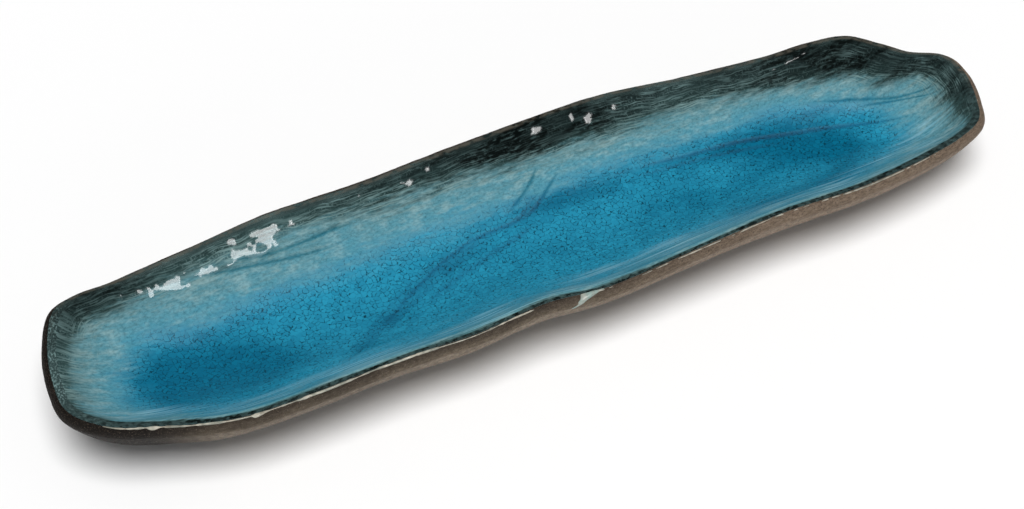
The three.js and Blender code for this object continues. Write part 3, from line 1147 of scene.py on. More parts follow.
@dataclass
class Groove:
    """Finger line drawn through the wet glaze, by points in plan."""

    points: tuple[tuple[float, float], ...]
    width: float = 1.6 * MM
    depth: float = FULL_GROOVE
    fineness: int = 8
    taper: int = 4
    steepness: int = 3

    def strength(self, x: Array, y: Array) -> Array:
        """How much of the groove is at each place in plan.

        Args:
            x: Places along the plate.
            y: Places across it.

        Returns:
            1 in the middle of the groove, 0 away from it.
        """
        knots = np.array(self.points) * MM
        fine = np.linspace(0, len(knots) - 1, self.fineness * len(knots))
        first = np.minimum(fine.astype(int), len(knots) - 2)
        step = (fine - first)[:, None]
        a, b, c, d = (knots[np.clip(first + k, 0, len(knots) - 1)] for k in (-1, 0, 1, 2))
        cube = 3 * b - a - 3 * c + d
        square = 2 * a - 5 * b + 4 * c - d + step * cube
        path = 0.5 * (2 * b + step * (c - a + step * square))
        best = np.full(x.shape, 1.0)
        for k, (start, end) in enumerate(zip(path[:-1], path[1:])):
            span = end - start
            share = ((x - start[0]) * span[0] + (y - start[1]) * span[1]) / max(span @ span, 1e-12)
            share = np.clip(share, 0, 1)
            gap = np.hypot(x - start[0] - share * span[0], y - start[1] - share * span[1])
            nearest = min(k, len(path) - 1 - k)
            ease = min(1.0, self.taper * nearest / len(path))
            best = np.minimum(best, gap / self.width + 1 - ease)
        return np.exp(-best * best * self.steepness) * self.depth / FULL_GROOVE


@dataclass
class GlazeCoats:
    """The three fused glazes, cut from one skin so that they meet without a seam."""

    form: PlateForm
    finish: GlazeFinish = GlazeFinish()
    sections: int = 1400
    end_crowding: float = 0.45
    pool_rows: int = 26
    celadon_rows: int = 30
    iron_rows: int = 30
    lip_rows: int = 8
    # Steps between the rows of the hidden underside of each glaze and of the lip
    pool_skip: int = 4
    celadon_skip: int = 5
    iron_skip: int = 6
    lip_skip: int = 3
    under: float = -0.4 * MM
    # Texture length of the whole wall, and stretch of the textures for each metre of climb
    wall_length: float = 50 * MM
    climb: float = 20.0
    # Blur of the table of edges in shares of the way round, share of the wall in which the band
    # turns dark, and depth of colour away from the deep patches
    edge_blur: float = 0.02
    blur_samples: int = 9
    dark_width: float = 0.22
    base_depth: float = 0.22
    # Drops: how gathers fade on the lip, how they pull the blobs up, and where a blob is a drop
    drop_height: float = 0.12 * MM
    drop_blobs: tuple[Swell, ...] = (
        Swell(0.95, 0.0036, 0.0022, 5), Swell(0.5, 0.0017, 0.0013, 6),
    )
    gather_gain: float = 1.3
    gather_end: Span = (1.0, 1.2)
    gather_pull: float = 1.4
    least_gather: float = 0.05
    drop_edge: Span = (1.1, 1.25)
    # Share of the way round where the front's middle is, and how far from it the back begins
    front_middle: float = 0.73
    back_from: Span = (0.25, 0.29)
    # Relief in mm, more of it up the wall, and the shares of the wall where that comes and goes
    broad: Swell = Swell(0.22, 0.042, 0.03, 1)
    lumps: Swell = Swell(1.0, 0.0085, 0.0055, 2)
    well_lumps: float = 0.04
    slope_lumps: float = 0.05
    small_lumps: Swell = Swell(0.015, 0.004, 0.003, 3)
    grain: Swell = Swell(0.014, 0.02, 0.0012, 4)
    slope_from: Span = (0.35, 0.7)
    relief_end: Span = (1.3, 1.9)
    grooves: tuple[Groove, ...] = (
        Groove(((31, 18), (54, 17), (76, 15), (99, 13), (118, 9), (148, 2), (167, -5), (177, -8))),
        Groove(((128, 19), (148, 13), (166, 7), (180, 2), (189, -2)), 1.0 * MM),
        Groove(((150, 9), (166, 5.5), (177, 1), (186, -5)), 0.9 * MM),
        Groove((
            (-98, -33), (-84, -23), (-66, -8), (-50, 2), (-37, 8), (-22, 12), (-5, 13), (6, 19),
            (16, 26),
        )),
        Groove(
            ((-110, -36), (-92, -27), (-72, -12), (-54, -1), (-38, 6), (-20, 11), (0, 15)),
            5 * MM, 0.12 * MM,
        ),
        Groove(((-11, 15), (1, 21), (9, 26), (14, 31)), 1.2 * MM),
        Groove(((-7, 11), (6, 16), (15, 22), (22, 26)), 1.2 * MM),
        Groove(
            ((-92, -31), (-76, -19), (-60, -8), (-44, 0), (-30, 5), (-16, 8)), 1.6 * MM, 0.11 * MM
        ),
        Groove(
            ((-104, -30), (-90, -21), (-74, -9), (-58, 1), (-44, 8), (-30, 13)),
            1.6 * MM, 0.11 * MM,
        ),
        Groove(
            ((-66, -17), (-50, -8), (-36, -2), (-20, 3), (-4, 7), (10, 12)), 2.4 * MM, 0.14 * MM
        ),
        Groove(((36, 14), (60, 13), (84, 11), (104, 8), (122, 4)), 1.6 * MM, 0.11 * MM),
        Groove(
            ((-142, 31), (-127, 30), (-116, 29), (-104, 28), (-89, 27), (-76, 27), (-67, 29)),
            1.0 * MM,
        ),
        Groove(((-127, 32), (-114, 31.5), (-101, 30.5), (-87, 31), (-71, 32), (-59, 31)), 1.1 * MM),
    )
    # Middle, half sizes in mm and strength of the deep patches of the well; light ones are below 0
    patches: tuple[tuple[float, ...], ...] = (
        (-146, -5, 28, 15, 0.95), (-122, -14, 20, 10, 0.45), (-46, -14, 28, 8, 0.1),
        (20, 16, 28, 5, 0.55), (68, -8, 15, 9, 0.45), (95, 10, 32, 6, 0.55), (112, 3, 18, 10, 0.6),
        (134, -7, 14, 12, 0.8), (-88, 8, 26, 9, -0.35), (-57, 11, 26, 7, -0.3),
        (86, 5, 12, 4, -0.4), (30, 2, 25, 6, -0.15), (-84, -22, 9, 4, 0.3), (-70, -11, 9, 4, 0.3),
        (-55, -1, 9, 4, 0.3), (-39, 6, 10, 4, 0.3), (-98, -35, 18, 6, -0.5), (84, -29, 15, 7, 0.45),
        (118, -27, 16, 8, 0.5),
    )
    # Middle, half sizes in mm and strength of the places where the rim glaze gathered in drops
    gathers: tuple[tuple[float, ...], ...] = (
        (-112, 35, 12, 3.2, 0.9), (-98, 37, 9, 2.0, 0.8), (-126, 31.5, 8, 1.4, 0.7),
        (-145, 30.5, 12, 2.0, 0.85), (-106, 31.5, 8, 1.4, 0.7), (-60, 39.3, 2.5, 1.0, 0.95),
        (-41, 38.6, 5, 0.9, 0.95), (-31, 40.5, 1.8, 1.2, 0.95), (18, 40.5, 2.5, 1.4, 0.95),
        (34, 41, 2, 2.2, 0.95), (41, 39, 2, 2.0, 0.9), (51, 40, 5, 1.6, 0.9),
        (136, 32.4, 7, 0.55, 1.1),
    )
    # Share of the way round, the shares of the wall where the well ends and the dark band begins
    # (beyond 1 on the lip), and how dark the band is
    edges: tuple[tuple[float, float, float, float], ...] = (
        (0.01, 0.31, 0.80, 0.8), (0.045, 0.42, 0.74, 1.0), (0.09, 0.55, 0.76, 1.1),
        (0.12, 0.52, 0.78, 0.85), (0.15, 0.47, 0.80, 0.6), (0.18, 0.45, 0.78, 0.72),
        (0.21, 0.45, 0.76, 1.12), (0.24, 0.46, 0.78, 1.12), (0.265, 0.42, 0.82, 1.0),
        (0.30, 0.43, 0.88, 0.85), (0.35, 0.42, 0.90, 0.5), (0.39, 0.46, 0.88, 0.5),
        (0.42, 0.44, 0.90, 0.64), (0.45, 0.40, 0.82, 1.1), (0.465, 0.39, 0.83, 1.0),
        (0.485, 0.48, 0.9, 0.18), (0.505, 0.50, 0.92, 0.14), (0.525, 0.55, 0.98, 0.7),
        (0.54, 0.62, 1.1, 0.92), (0.565, 0.80, 1.5, 1.0), (0.63, 0.84, 1.6, 1.0),
        (0.70, 0.76, 1.62, 1.0), (0.76, 0.66, 1.64, 1.0), (0.82, 0.72, 1.6, 1.0),
        (0.87, 0.76, 1.5, 1.0), (0.92, 0.68, 1.2, 0.95), (0.94, 0.55, 1.15, 0.9),
        (0.96, 0.46, 0.98, 0.85), (0.985, 0.34, 0.76, 0.85),
    )

    def turns(self) -> Array:
        """Where the sections stand, closer together round the ends.

        Returns:
            Shares of the way round, the same on both sides of the plate.
        """
        even = np.arange(self.sections) / self.sections
        return even - self.end_crowding * np.sin(4 * np.pi * even) / (4 * np.pi)

    def edge(self, turns: Array, column: int) -> Array:
        """A column of the table of edges, evened out along the rim.

        Args:
            turns: Shares of the way round.
            column: 1 for the end of the well, 2 for the dark band's edge, 3 for how dark it is.

        Returns:
            The column's value at each section.
        """
        table = np.array(self.edges)
        places = np.concatenate([table[:, 0] - 1, table[:, 0], table[:, 0] + 1])
        blur = np.linspace(-self.edge_blur, self.edge_blur, self.blur_samples)
        return np.interp(turns[:, None] + blur, places, np.tile(table[:, column], 3)).mean(1)

    def zones(self, cut: Sections, share: Array) -> Array:
        """Place between the well and the lip, which sets the colour.

        Args:
            cut: The sections.
            share: Share of the wall, and beyond 1 the share of the lip.

        Returns:
            0 to 1 in the well, to 2 in the celadon, to 3 in the dark band.
        """
        pool, dark = self.edge(cut.turns, 1)[:, None], self.edge(cut.turns, 2)[:, None]
        in_celadon = 1 + (share - pool) / (dark - pool)
        in_dark = np.minimum(2 + (share - dark) / self.dark_width, 3)
        return np.where(share < pool, share / pool, np.where(share < dark, in_celadon, in_dark))

    def surface(
        self, cut: Sections, wall: Array, over: Array
    ) -> tuple[Array, Array, dict[str, Array]]:
        """Upper face of the glazes, from the hub line over the lip.

        Args:
            cut: The sections.
            wall: Shares of the inner wall that have a row of points.
            over: Shares of the lip that have one.

        Returns:
            Points, the directions that they face, and the values that the finish reads.
        """
        form = self.form
        inner, inner_face = cut.inner(wall, form.coat(wall))
        lip_coat = form.rim_coat + (form.feather_coat - form.rim_coat) * over
        lip, lip_face = cut.lip(self.lip_angles(over), lip_coat)
        grid = np.concatenate([inner, lip], 1)
        facing = np.concatenate([inner_face, lip_face], 1)
        share = np.concatenate([wall, np.broadcast_to(1 + over, (self.sections, len(over)))], 1)
        lay = self.lay(grid)
        groove = self.groove_field(grid)
        values = {
            "lay": lay,
            "ring": self.ring(cut.turns, share),
            "zone": self.zones(cut, share),
            "groove": groove,
            "bare": np.broadcast_to(self.bare(cut.turns)[:, None], share.shape),
            "ink": np.broadcast_to(self.edge(cut.turns, 3)[:, None], share.shape),
            "crest": np.maximum(share - 1, 0),
            "deep": self.base_depth + self.spots(grid, self.patches),
            "drop": self.drops(grid, share),
        }
        relief = self.relief(lay, share, groove, values["drop"])
        grid = grid + facing * relief[..., None]
        normals = grid_normals(grid, facing)
        mirror = (-np.arange(self.sections)) % self.sections
        normals[:, 0] = unit(normals[:, 1] + normals[mirror, 1])
        return grid, normals, values

    def lip_angles(self, over: Array) -> Array:
        """Angles round the lip for shares of its glazed part."""
        return self.form.inner_tangent + (self.form.glaze_stop - self.form.inner_tangent) * over

    def rows(self, cut: Sections) -> Array:
        """Shares of the inner wall that have a row of points, the same count in every section."""
        none = np.zeros(self.sections)
        pool = blend_rows(none, cut.pool_edge, shares(self.pool_rows))
        celadon = blend_rows(cut.pool_edge, cut.celadon_edge, shares(self.celadon_rows)[1:])
        iron = blend_rows(cut.celadon_edge, none + 1, shares(self.iron_rows)[1:])
        return np.concatenate([pool, celadon, iron], 1)

    def build(self) -> list[bpy.types.Object]:
        """Makes the three glazes and dresses them.

        Returns:
            The pieces, from the well outwards.
        """
        cut = Sections(self.form, self.turns())
        wall = self.rows(cut)
        over = shares(self.lip_rows)[1:]
        grid, normals, values = self.surface(cut, wall, over)
        first, second = self.pool_rows, self.pool_rows + self.celadon_rows
        cuts = {
            Coat.TURQUOISE: (slice(0, first + 1), self.pool_skip),
            Coat.CELADON: (slice(first, second + 1), self.celadon_skip),
            Coat.IRON: (slice(second, None), self.iron_skip),
        }
        pieces = []
        for coat, (rows, skip) in cuts.items():
            shell = Shell(coat.value[0] + "_coat")
            part = {key: rows_of[:, rows] for key, rows_of in values.items()}
            shell.add(grid[:, rows], normals[:, rows], **part)
            below = wall[:, rows][:, ::skip]
            under, under_face = cut.inner(below[:, ::-1], self.under)
            if coat is Coat.IRON:
                angles = self.lip_angles(over[::-self.lip_skip])
                lip_under, lip_under_face = cut.lip(angles, self.under)
                under = np.concatenate([lip_under, under], 1)
                under_face = np.concatenate([lip_under_face, under_face], 1)
            hidden = {key: np.zeros(under.shape[:2]) for key in part}
            hidden["lay"] = hidden["ring"] = self.lay(under)
            shell.add(under, -under_face, **hidden)
            piece = shell.build(is_loop=coat is not Coat.TURQUOISE)
            piece.data.materials.append(self.finish.material(coat.value[1] + "_finish"))
            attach(piece, BODY)
            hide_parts(coat.value[0])
            pieces.append(piece)
        return pieces

    def lay(self, grid: Array) -> Array:
        """Unrolled place on the wall: along the plate, and across it with the climb of the wall.

        Args:
            grid: Points.

        Returns:
            Vectors for the textures.
        """
        climb = 1 + self.climb * np.maximum(grid[..., 2] - self.form.floor_top, 0)
        return np.stack([grid[..., 0], grid[..., 1] * climb, 0 * climb], -1)

    def ring(self, turns: Array, share: Array) -> Array:
        """Place on the wall that follows the rim, closes on itself, and climbs the wall.

        Args:
            turns: Shares of the way round.
            share: Share of the wall, and beyond 1 the share of the lip.

        Returns:
            Vectors for the textures.
        """
        angle = 2 * np.pi * turns[:, None] + 0 * share
        radius = self.form.run[-1] / (2 * np.pi)
        x, y = radius * np.cos(angle), radius * np.sin(angle)
        return np.stack([x, y, share * self.wall_length], -1)

    def groove_field(self, grid: Array) -> Array:
        """How much of any finger line is at each point."""
        field_of = np.zeros(grid.shape[:2])
        for groove in self.grooves:
            field_of = np.maximum(field_of, groove.strength(grid[..., 0], grid[..., 1]))
        return field_of

    @staticmethod
    def spots(grid: Array, table: Sequence[Sequence[float]]) -> Array:
        """Sum of soft oval spots in plan.

        Args:
            grid: Points.
            table: Middle, half sizes in mm and strength of each spot.

        Returns:
            The sum at each point.
        """
        total = np.zeros(grid.shape[:2])
        for x, y, wide, deep, strength in table:
            across = (grid[..., 0] / MM - x) / wide
            total += strength * np.exp(-(across**2) - ((grid[..., 1] / MM - y) / deep) ** 2)
        return total

    def drops(self, grid: Array, share: Array) -> Array:
        """Drops that the rim glaze gathered in.

        Args:
            grid: Points.
            share: Share of the wall, and beyond 1 the share of the lip.

        Returns:
            1 on a drop, 0 away from it.
        """
        x, y = grid[..., 0], grid[..., 1]
        gathered = np.minimum(self.gather_gain * self.spots(grid, self.gathers), 1)
        gathered = gathered * (1 - smooth(share, *self.gather_end))
        blobs = sum(swell.at(x, y) for swell in self.drop_blobs)
        drops = smooth(blobs + self.gather_pull * gathered, *self.drop_edge)
        return drops * (gathered > self.least_gather)

    def bare(self, turns: Array) -> Array:
        """Where the lip is worn down to grey-brown: along the back."""
        return smooth(np.abs(turns - self.front_middle), *self.back_from)

    def relief(self, lay: Array, share: Array, groove: Array, drop: Array) -> Array:
        """Height of the glaze's own relief.

        Args:
            lay: Unrolled places.
            share: Share of the wall, and beyond 1 the share of the lip.
            groove: How much of a finger line is there.
            drop: How much of a drop is there, which lies smooth.

        Returns:
            Heights off the smooth face.
        """
        x, y = lay[..., 0], lay[..., 1]
        slope = smooth(share, *self.slope_from)
        lumps = self.lumps.at(x, y, self.well_lumps + self.slope_lumps * slope)
        lumps = lumps + self.small_lumps.at(x, y, slope)
        fade = 1 - smooth(share, *self.relief_end)
        uneven = self.broad.at(x, y) + (1 - drop) * (lumps + self.grain.at(x, y, slope))
        return MM * fade * uneven - FULL_GROOVE * groove + self.drop_height * drop


@dataclass
class ClayBody:
    """Slab of clay raised into a trough, with a rounded lip."""

    form: PlateForm
    finish: ClayFinish = ClayFinish()
    sections: int = 1200
    base_rows: int = 6
    wall_rows: int = 40
    lip_rows: int = 16
    hidden_lip_rows: int = 4
    hidden_rows: int = 8
    sunk: float = -0.6 * MM
    # Radians past the edge of the glaze where the face of the clay ends, and where it is sunk
    lap: float = 0.1
    sunk_lap: float = 0.2
    # Part of the height values that the wall takes up, and the unrolled height of the wall
    wall_part: float = 0.5
    wall_rise: float = 0.022
    # Strength, share of the way round, and how far from there a scorch starts to fade and is gone
    scorches: tuple[tuple[float, float, float, float], ...] = (
        (1.15, 0.51, 0.04, 0.085), (0.35, 0.25, 0.1, 0.3), (0.22, 0.6, 0.03, 0.09),
    )
    flush_from: Span = (0.71, 0.85)
    flush_until: Span = (0.02, 0.08)
    # Dents of the hand and grain of the clay in mm, and the heights where they come and go
    dents: tuple[Swell, ...] = (
        Swell(0.25, 0.024, 0.014, 11), Swell(0.1, 0.007, 0.005, 12),
        Swell(0.04, 0.0016, 0.0013, 13),
    )
    dents_from: Span = (0.0, 0.06)
    dents_until: Span = (0.8, 0.97)

    def build(self) -> bpy.types.Object:
        """Makes the body and dresses it.

        Returns:
            The piece.
        """
        form = self.form
        turns = np.arange(self.sections) / self.sections
        cut = Sections(form, turns)
        base_run = cut.base_reach[:, None] * shares(self.base_rows)[:-1]
        base = cut.place(base_run, np.full(base_run.shape, form.foot_height))
        wall, wall_face = cut.outer(shares(self.wall_rows))
        around = shares(self.lip_rows)[1:]
        turn = form.glaze_stop + self.lap - form.outer_tangent
        angles = form.outer_tangent + turn * around
        lip, lip_face = cut.lip(angles)
        grid = np.concatenate([wall, lip], 1)
        facing = np.concatenate([wall_face, lip_face], 1)
        on_lip = self.wall_part + (1 - self.wall_part) * around
        height = np.concatenate([shares(self.wall_rows) * self.wall_part, on_lip])
        height = np.broadcast_to(height, grid.shape[:2])
        lay = self.lay(turns, height)
        grid = grid + facing * self.relief(lay, height)[..., None]
        normals = grid_normals(grid, facing)
        sunk_from = form.glaze_stop + self.sunk_lap
        angles = np.linspace(sunk_from, form.inner_tangent, self.hidden_lip_rows)
        hidden_lip = cut.lip(angles, self.sunk)
        hidden_wall = cut.inner(shares(self.hidden_rows)[::-1], self.sunk)
        shell = Shell("stoneware_slab")
        down = np.broadcast_to((0.0, 0.0, -1.0), base.shape)
        plain = np.zeros(base.shape[:2])
        shell.add(base, down, lay=base * (1, 1, 0), wall=plain, scorch=plain, flush=plain)
        self.lay_on(shell, turns, grid, normals, height)
        for hidden, hidden_face in (hidden_lip, hidden_wall):
            self.lay_on(shell, turns, hidden, hidden_face, np.full(hidden.shape[:2], 1.0))
        piece = shell.build(is_loop=False)
        piece.data.materials.append(self.finish.material("clay_finish"))
        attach(piece, BODY)
        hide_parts("stoneware_body")
        return piece

    def lay(self, turns: Array, height: Array) -> Array:
        """Unrolled place on the outside: along the rim, and up the wall.

        Args:
            turns: Shares of the way round.
            height: 0 at the base to 1 on the lip.

        Returns:
            Vectors for the textures.
        """
        along = np.broadcast_to((turns * self.form.run[-1])[:, None], height.shape)
        up = (height + np.minimum(height, self.wall_part)) * self.wall_rise
        return np.stack([along, up, 0 * along], -1)

    def lay_on(
        self, shell: Shell, turns: Array, grid: Array, normals: Array, height: Array
    ) -> None:
        """Adds rows to the shell with the values that the finish reads.

        Args:
            shell: Shell that gets the rows.
            turns: Shares of the way round.
            grid: Points, by section and row.
            normals: Directions of the points.
            height: 0 at the base to 1 on the lip.
        """
        scorch = np.zeros(len(turns))
        for strength, middle, near, far in self.scorches:
            scorch = np.maximum(scorch, strength * (1 - smooth(np.abs(turns - middle), near, far)))
        flush = smooth(turns, *self.flush_from)
        flush = np.maximum(flush, 1 - smooth(turns, *self.flush_until))
        values = {
            "lay": self.lay(turns, height),
            "wall": height,
            "scorch": np.broadcast_to(scorch[:, None], height.shape),
            "flush": np.broadcast_to(flush[:, None], height.shape),
        }
        shell.add(grid, normals, **values)

    def relief(self, lay: Array, height: Array) -> Array:
        """Dents and drag marks of the hand on the outside.

        Args:
            lay: Unrolled places.
            height: 0 at the base to 1 on the lip.

        Returns:
            Heights off the smooth wall.
        """
        x, y = lay[..., 0], lay[..., 1]
        fade = smooth(height, *self.dents_from) * (1 - smooth(height, *self.dents_until))
        return MM * fade * sum(swell.at(x, y) for swell in self.dents)


@dataclass
class FootRing:
    """Coil of clay under the flat base."""

    form: PlateForm
    finish: ClayFinish = ClayFinish(stops=((0.0, "93826f"), (0.5, "86735f"), (1.0, "77644f")))
    sections: int = 720
    height: float = 4 * MM
    width: float = 6 * MM
    tread: float = 4 * MM
    inset: float = 1.5 * MM
    # Shares of the taper and of the height, from the clay down to the tread
    profile: tuple[Span, ...] = (
        (0, 1), (-0.15, 0.8), (0.1, 0.5), (0.5, 0.2), (0.8, 0.05), (1, 0),
    )
    dent_depth: float = 0.12 * MM
    dents_round: int = 90
    dents_above: float = 0.3 * MM
    seed: int = 21

    def build(self) -> bpy.types.Object:
        """Makes the foot and dresses it.

        Returns:
            The piece.
        """
        turns = np.arange(self.sections) / self.sections
        cut = Sections(self.form, turns)
        taper = (self.width - self.tread) / 2
        outside = (cut.base_reach - self.inset)[:, None]
        profile = np.array(self.profile)
        drop = np.concatenate([profile[:, 1], profile[::-1, 1]]) * self.height
        outer_run = outside - profile[:, 0] * taper
        inner_run = outside - self.width + profile[::-1, 0] * taper
        run = np.concatenate([outer_run, inner_run], 1)
        dents = noise(turns * self.dents_round, 0 * turns, self.seed)
        uneven = self.dent_depth * dents[:, None] * (drop > self.dents_above)
        grid = cut.place(run + uneven, np.broadcast_to(drop, run.shape))
        low = np.array(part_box("foot_ring")[0])[2]
        grid[..., 2] += low - grid[..., 2].min()
        middle = cut.place(outside - self.width / 2, np.full((self.sections, 1), self.height / 2))
        normals = grid_normals(grid, unit(grid - middle))
        shell = Shell("foot_coil")
        height = np.broadcast_to(drop / self.height, run.shape)
        along = np.broadcast_to((turns * self.form.run[-1])[:, None], run.shape)
        values = {
            "lay": np.stack([along, run, 0 * run], -1),
            "wall": height,
            "scorch": 0 * run,
            "flush": 0 * run,
        }
        shell.add(grid, normals, **values)
        piece = shell.build(is_loop=True)
        piece.data.materials.append(self.finish.material("foot_finish"))
        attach(piece, BODY)
        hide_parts("foot_ring")
        return piece


@dataclass
class LipBead:
    """Pale bead along the lip, where the glaze stops on bare clay. It comes and goes."""

    form: PlateForm
    finish: BeadFinish = BeadFinish()
    sections: int = 1400
    rows: int = 8
    skip: int = 3
    height: float = 0.4 * MM
    least_height: float = 0.1 * MM
    sunk: float = 0.25 * MM
    under: float = -0.6 * MM
    tinted: float = 0.15
    # How full the bead is, how its middle strays in radians, and where it widens into patches
    swells: tuple[Swell, ...] = (
        Swell(1.0, 0.013, 1.0, 31), Swell(0.5, 0.004, 1.0, 32), Swell(0.7, 0.0017, 1.0, 34),
    )
    stray: Swell = Swell(0.05, 0.009, 1.0, 33)
    patches: Swell = Swell(1.0, 0.006, 1.0, 35)
    stray_row: int = 5
    patch_span: Span = (-0.1, 0.5)
    patch_middle: float = 0.565
    patch_half: Span = (0.03, 0.06)
    # Shares of the way round between which the front comes, the bead thins, fades and begins
    front_from: Span = (0.49, 0.54)
    thin_from: Span = (0.66, 0.76)
    fade_from: Span = (0.9, 0.97)
    begins: Span = (0.528, 0.55)
    # How the swells and the front make up its size, its least size at the front, and what thins it
    own_part: float = 1.1
    front_part: float = 1.7
    threshold: float = 0.85
    full_span: Span = (-0.25, 1.3)
    steady: float = 0.32
    steady_span: Span = (0.5, 1.0)
    thinning: float = 0.35
    fading: float = 0.65
    narrowing: float = 0.45
    patch_size: float = 0.85
    # Radians round the lip: back from the edge of the glaze, half width, and what a patch changes
    set_back: float = 0.17
    least_half: float = 0.05
    more_half: float = 0.1
    patch_more: float = 0.2
    patch_shift: float = 0.14

    def build(self) -> bpy.types.Object:
        """Makes the bead and dresses it.

        Returns:
            The piece.
        """
        form = self.form
        turns = np.arange(self.sections) / self.sections
        cut = Sections(form, turns)
        path = turns * form.run[-1]
        full = sum(swell.at(path, 0 * path) for swell in self.swells)
        thin, fading = smooth(turns, *self.thin_from), smooth(turns, *self.fade_from)
        front = 1 - self.thinning * thin - self.fading * fading
        front = smooth(turns, *self.front_from) * front
        full = self.own_part * full + self.front_part * front - self.threshold
        steady = self.steady * smooth(front, *self.steady_span)
        size = np.maximum(smooth(full, *self.full_span), steady)
        patch = smooth(self.patches.at(path, 0 * path), *self.patch_span)
        patch = patch * (1 - smooth(np.abs(turns - self.patch_middle), *self.patch_half))
        size = np.maximum(size, self.patch_size * patch) * smooth(turns, *self.begins)
        half = (self.least_half + self.more_half * size) * (1 - self.narrowing * thin)
        half = half + self.patch_more * patch
        middle = form.glaze_stop - self.set_back + self.stray.at(path, 0 * path + self.stray_row)
        middle = middle - self.patch_shift * patch
        steps = np.linspace(-1, 1, self.rows)
        angle = middle[:, None] + half[:, None] * steps
        crown = np.sqrt(np.maximum(1 - steps * steps, 0))
        lift = (self.height * size + self.least_height)[:, None] * crown
        lift = lift - self.sunk + (self.sunk * size)[:, None]
        face, face_normals = cut.lip(angle, lift)
        under, under_normals = cut.lip(angle[:, ::-self.skip], self.under)
        shell = Shell("lip_bead")
        for grid, normals in ((face, grid_normals(face, face_normals)), (under, -under_normals)):
            along = np.broadcast_to(path[:, None], grid.shape[:2])
            shell.add(grid, normals, lay=np.stack([along, grid[..., 2], 0 * along], -1))
        piece = shell.build(is_loop=True)
        piece.data.materials.append(self.finish.material("bead_finish", self.tinted))
        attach(piece, BODY)
        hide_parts("pale_lip_bead")
        return piece


@dataclass
class GlazeRun:
    """Dribble of pale glaze over the front lip."""

    form: PlateForm
    finish: BeadFinish = BeadFinish(pale="a9aaa0", dull="8a8d84", tint="7fa39f")
    place: float = 0.0
    width: float = 11 * MM
    tip_width: float = 1.0 * MM
    lean: float = 11.5 * MM
    thickness: float = 0.6 * MM
    sunk: float = -0.5 * MM
    top: float = math.radians(88)
    foot: float = math.radians(-26)
    tinted: float = 0.8
    rows: int = 40
    columns: int = 24
    # Shares of the way round that hold the front lip, and how many of them are tried
    search: Span = (0.55, 0.95)
    search_steps: int = 1200
    # How the width and the lean go on downwards, the rounded tip's share and the least half width
    narrowing: float = 2.0
    lean_bend: float = 0.85
    tip_share: float = 0.15
    least_half: float = 0.1 * MM
    sway: float = 0.5 * MM
    sways: int = 6
    seed: int = 41
    # How fast the thickness comes at the top and goes at the foot, its least, and the sunk edge
    top_rise: int = 5
    foot_fall: int = 4
    least_crown: float = 0.2
    edge_sunk: float = 0.05 * MM

    def build(self) -> bpy.types.Object:
        """Makes the dribble and dresses it.

        Returns:
            The piece.
        """
        form = self.form
        table = np.linspace(*self.search, self.search_steps)
        crest_x = form.crest(table)[:, 0]
        down = shares(self.rows)[:, None]
        across = np.linspace(-1, 1, self.columns)
        half = (self.width * (1 - down) ** self.narrowing + self.tip_width) / 2
        half = half * np.sqrt(np.minimum((1 - down) / self.tip_share, 1)) + self.least_half
        sway = self.sway * noise(down * self.sways, 0 * down, self.seed) * down
        x = self.place - self.lean * down**self.lean_bend + sway + half * across
        cut = Sections(form, np.interp(x, crest_x, table).ravel())
        ends = np.minimum(self.top_rise * down, self.foot_fall * (1 - down)) + self.least_crown
        crown = np.sqrt(np.maximum(1 - across**2, 0)) * np.minimum(1, ends)
        angle = np.broadcast_to(self.top + (self.foot - self.top) * down, x.shape).reshape(-1, 1)
        lift = (self.thickness * crown - self.edge_sunk).reshape(-1, 1)
        face = cut.lip(angle, lift)[0].reshape(*x.shape, 3)
        back = cut.lip(angle, self.sunk)[0].reshape(*x.shape, 3)
        return self.closed(face, back)

    def closed(self, face: Array, back: Array) -> bpy.types.Object:
        """Joins a face and a back into a closed piece and dresses it.

        Args:
            face: Points of the face, by row and column.
            back: Points of the back, in the same layout.

        Returns:
            The piece.
        """
        rows, columns = face.shape[:2]
        at = np.arange(rows * columns).reshape(rows, columns)
        top = np.stack([at[:-1, :-1], at[:-1, 1:], at[1:, 1:], at[1:, :-1]], -1).reshape(-1, 4)
        under = top[:, ::-1] + rows * columns
        edge = np.concatenate([at[0, :-1], at[:-1, -1], at[-1, :0:-1], at[:0:-1, 0]])
        following = np.roll(edge, -1)
        sides = np.stack([following, edge, edge + rows * columns, following + rows * columns], -1)
        points = np.concatenate([face.reshape(-1, 3), back.reshape(-1, 3)])
        mesh = bpy.data.meshes.new("glaze_dribble")
        mesh.from_pydata(points.tolist(), [], np.concatenate([top, under, sides]).tolist())
        mesh.polygons.foreach_set("use_smooth", np.ones(len(mesh.polygons), bool))
        Shell.store(mesh, "lay", np.stack([points[:, 0], points[:, 2], 0 * points[:, 0]], -1))
        mesh.validate()
        piece = bpy.data.objects.new("glaze_dribble", mesh)
        bpy.context.scene.collection.objects.link(piece)
        piece.data.materials.append(self.finish.material("run_finish", self.tinted))
        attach(piece, BODY)
        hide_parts("glaze_run")
        return piece


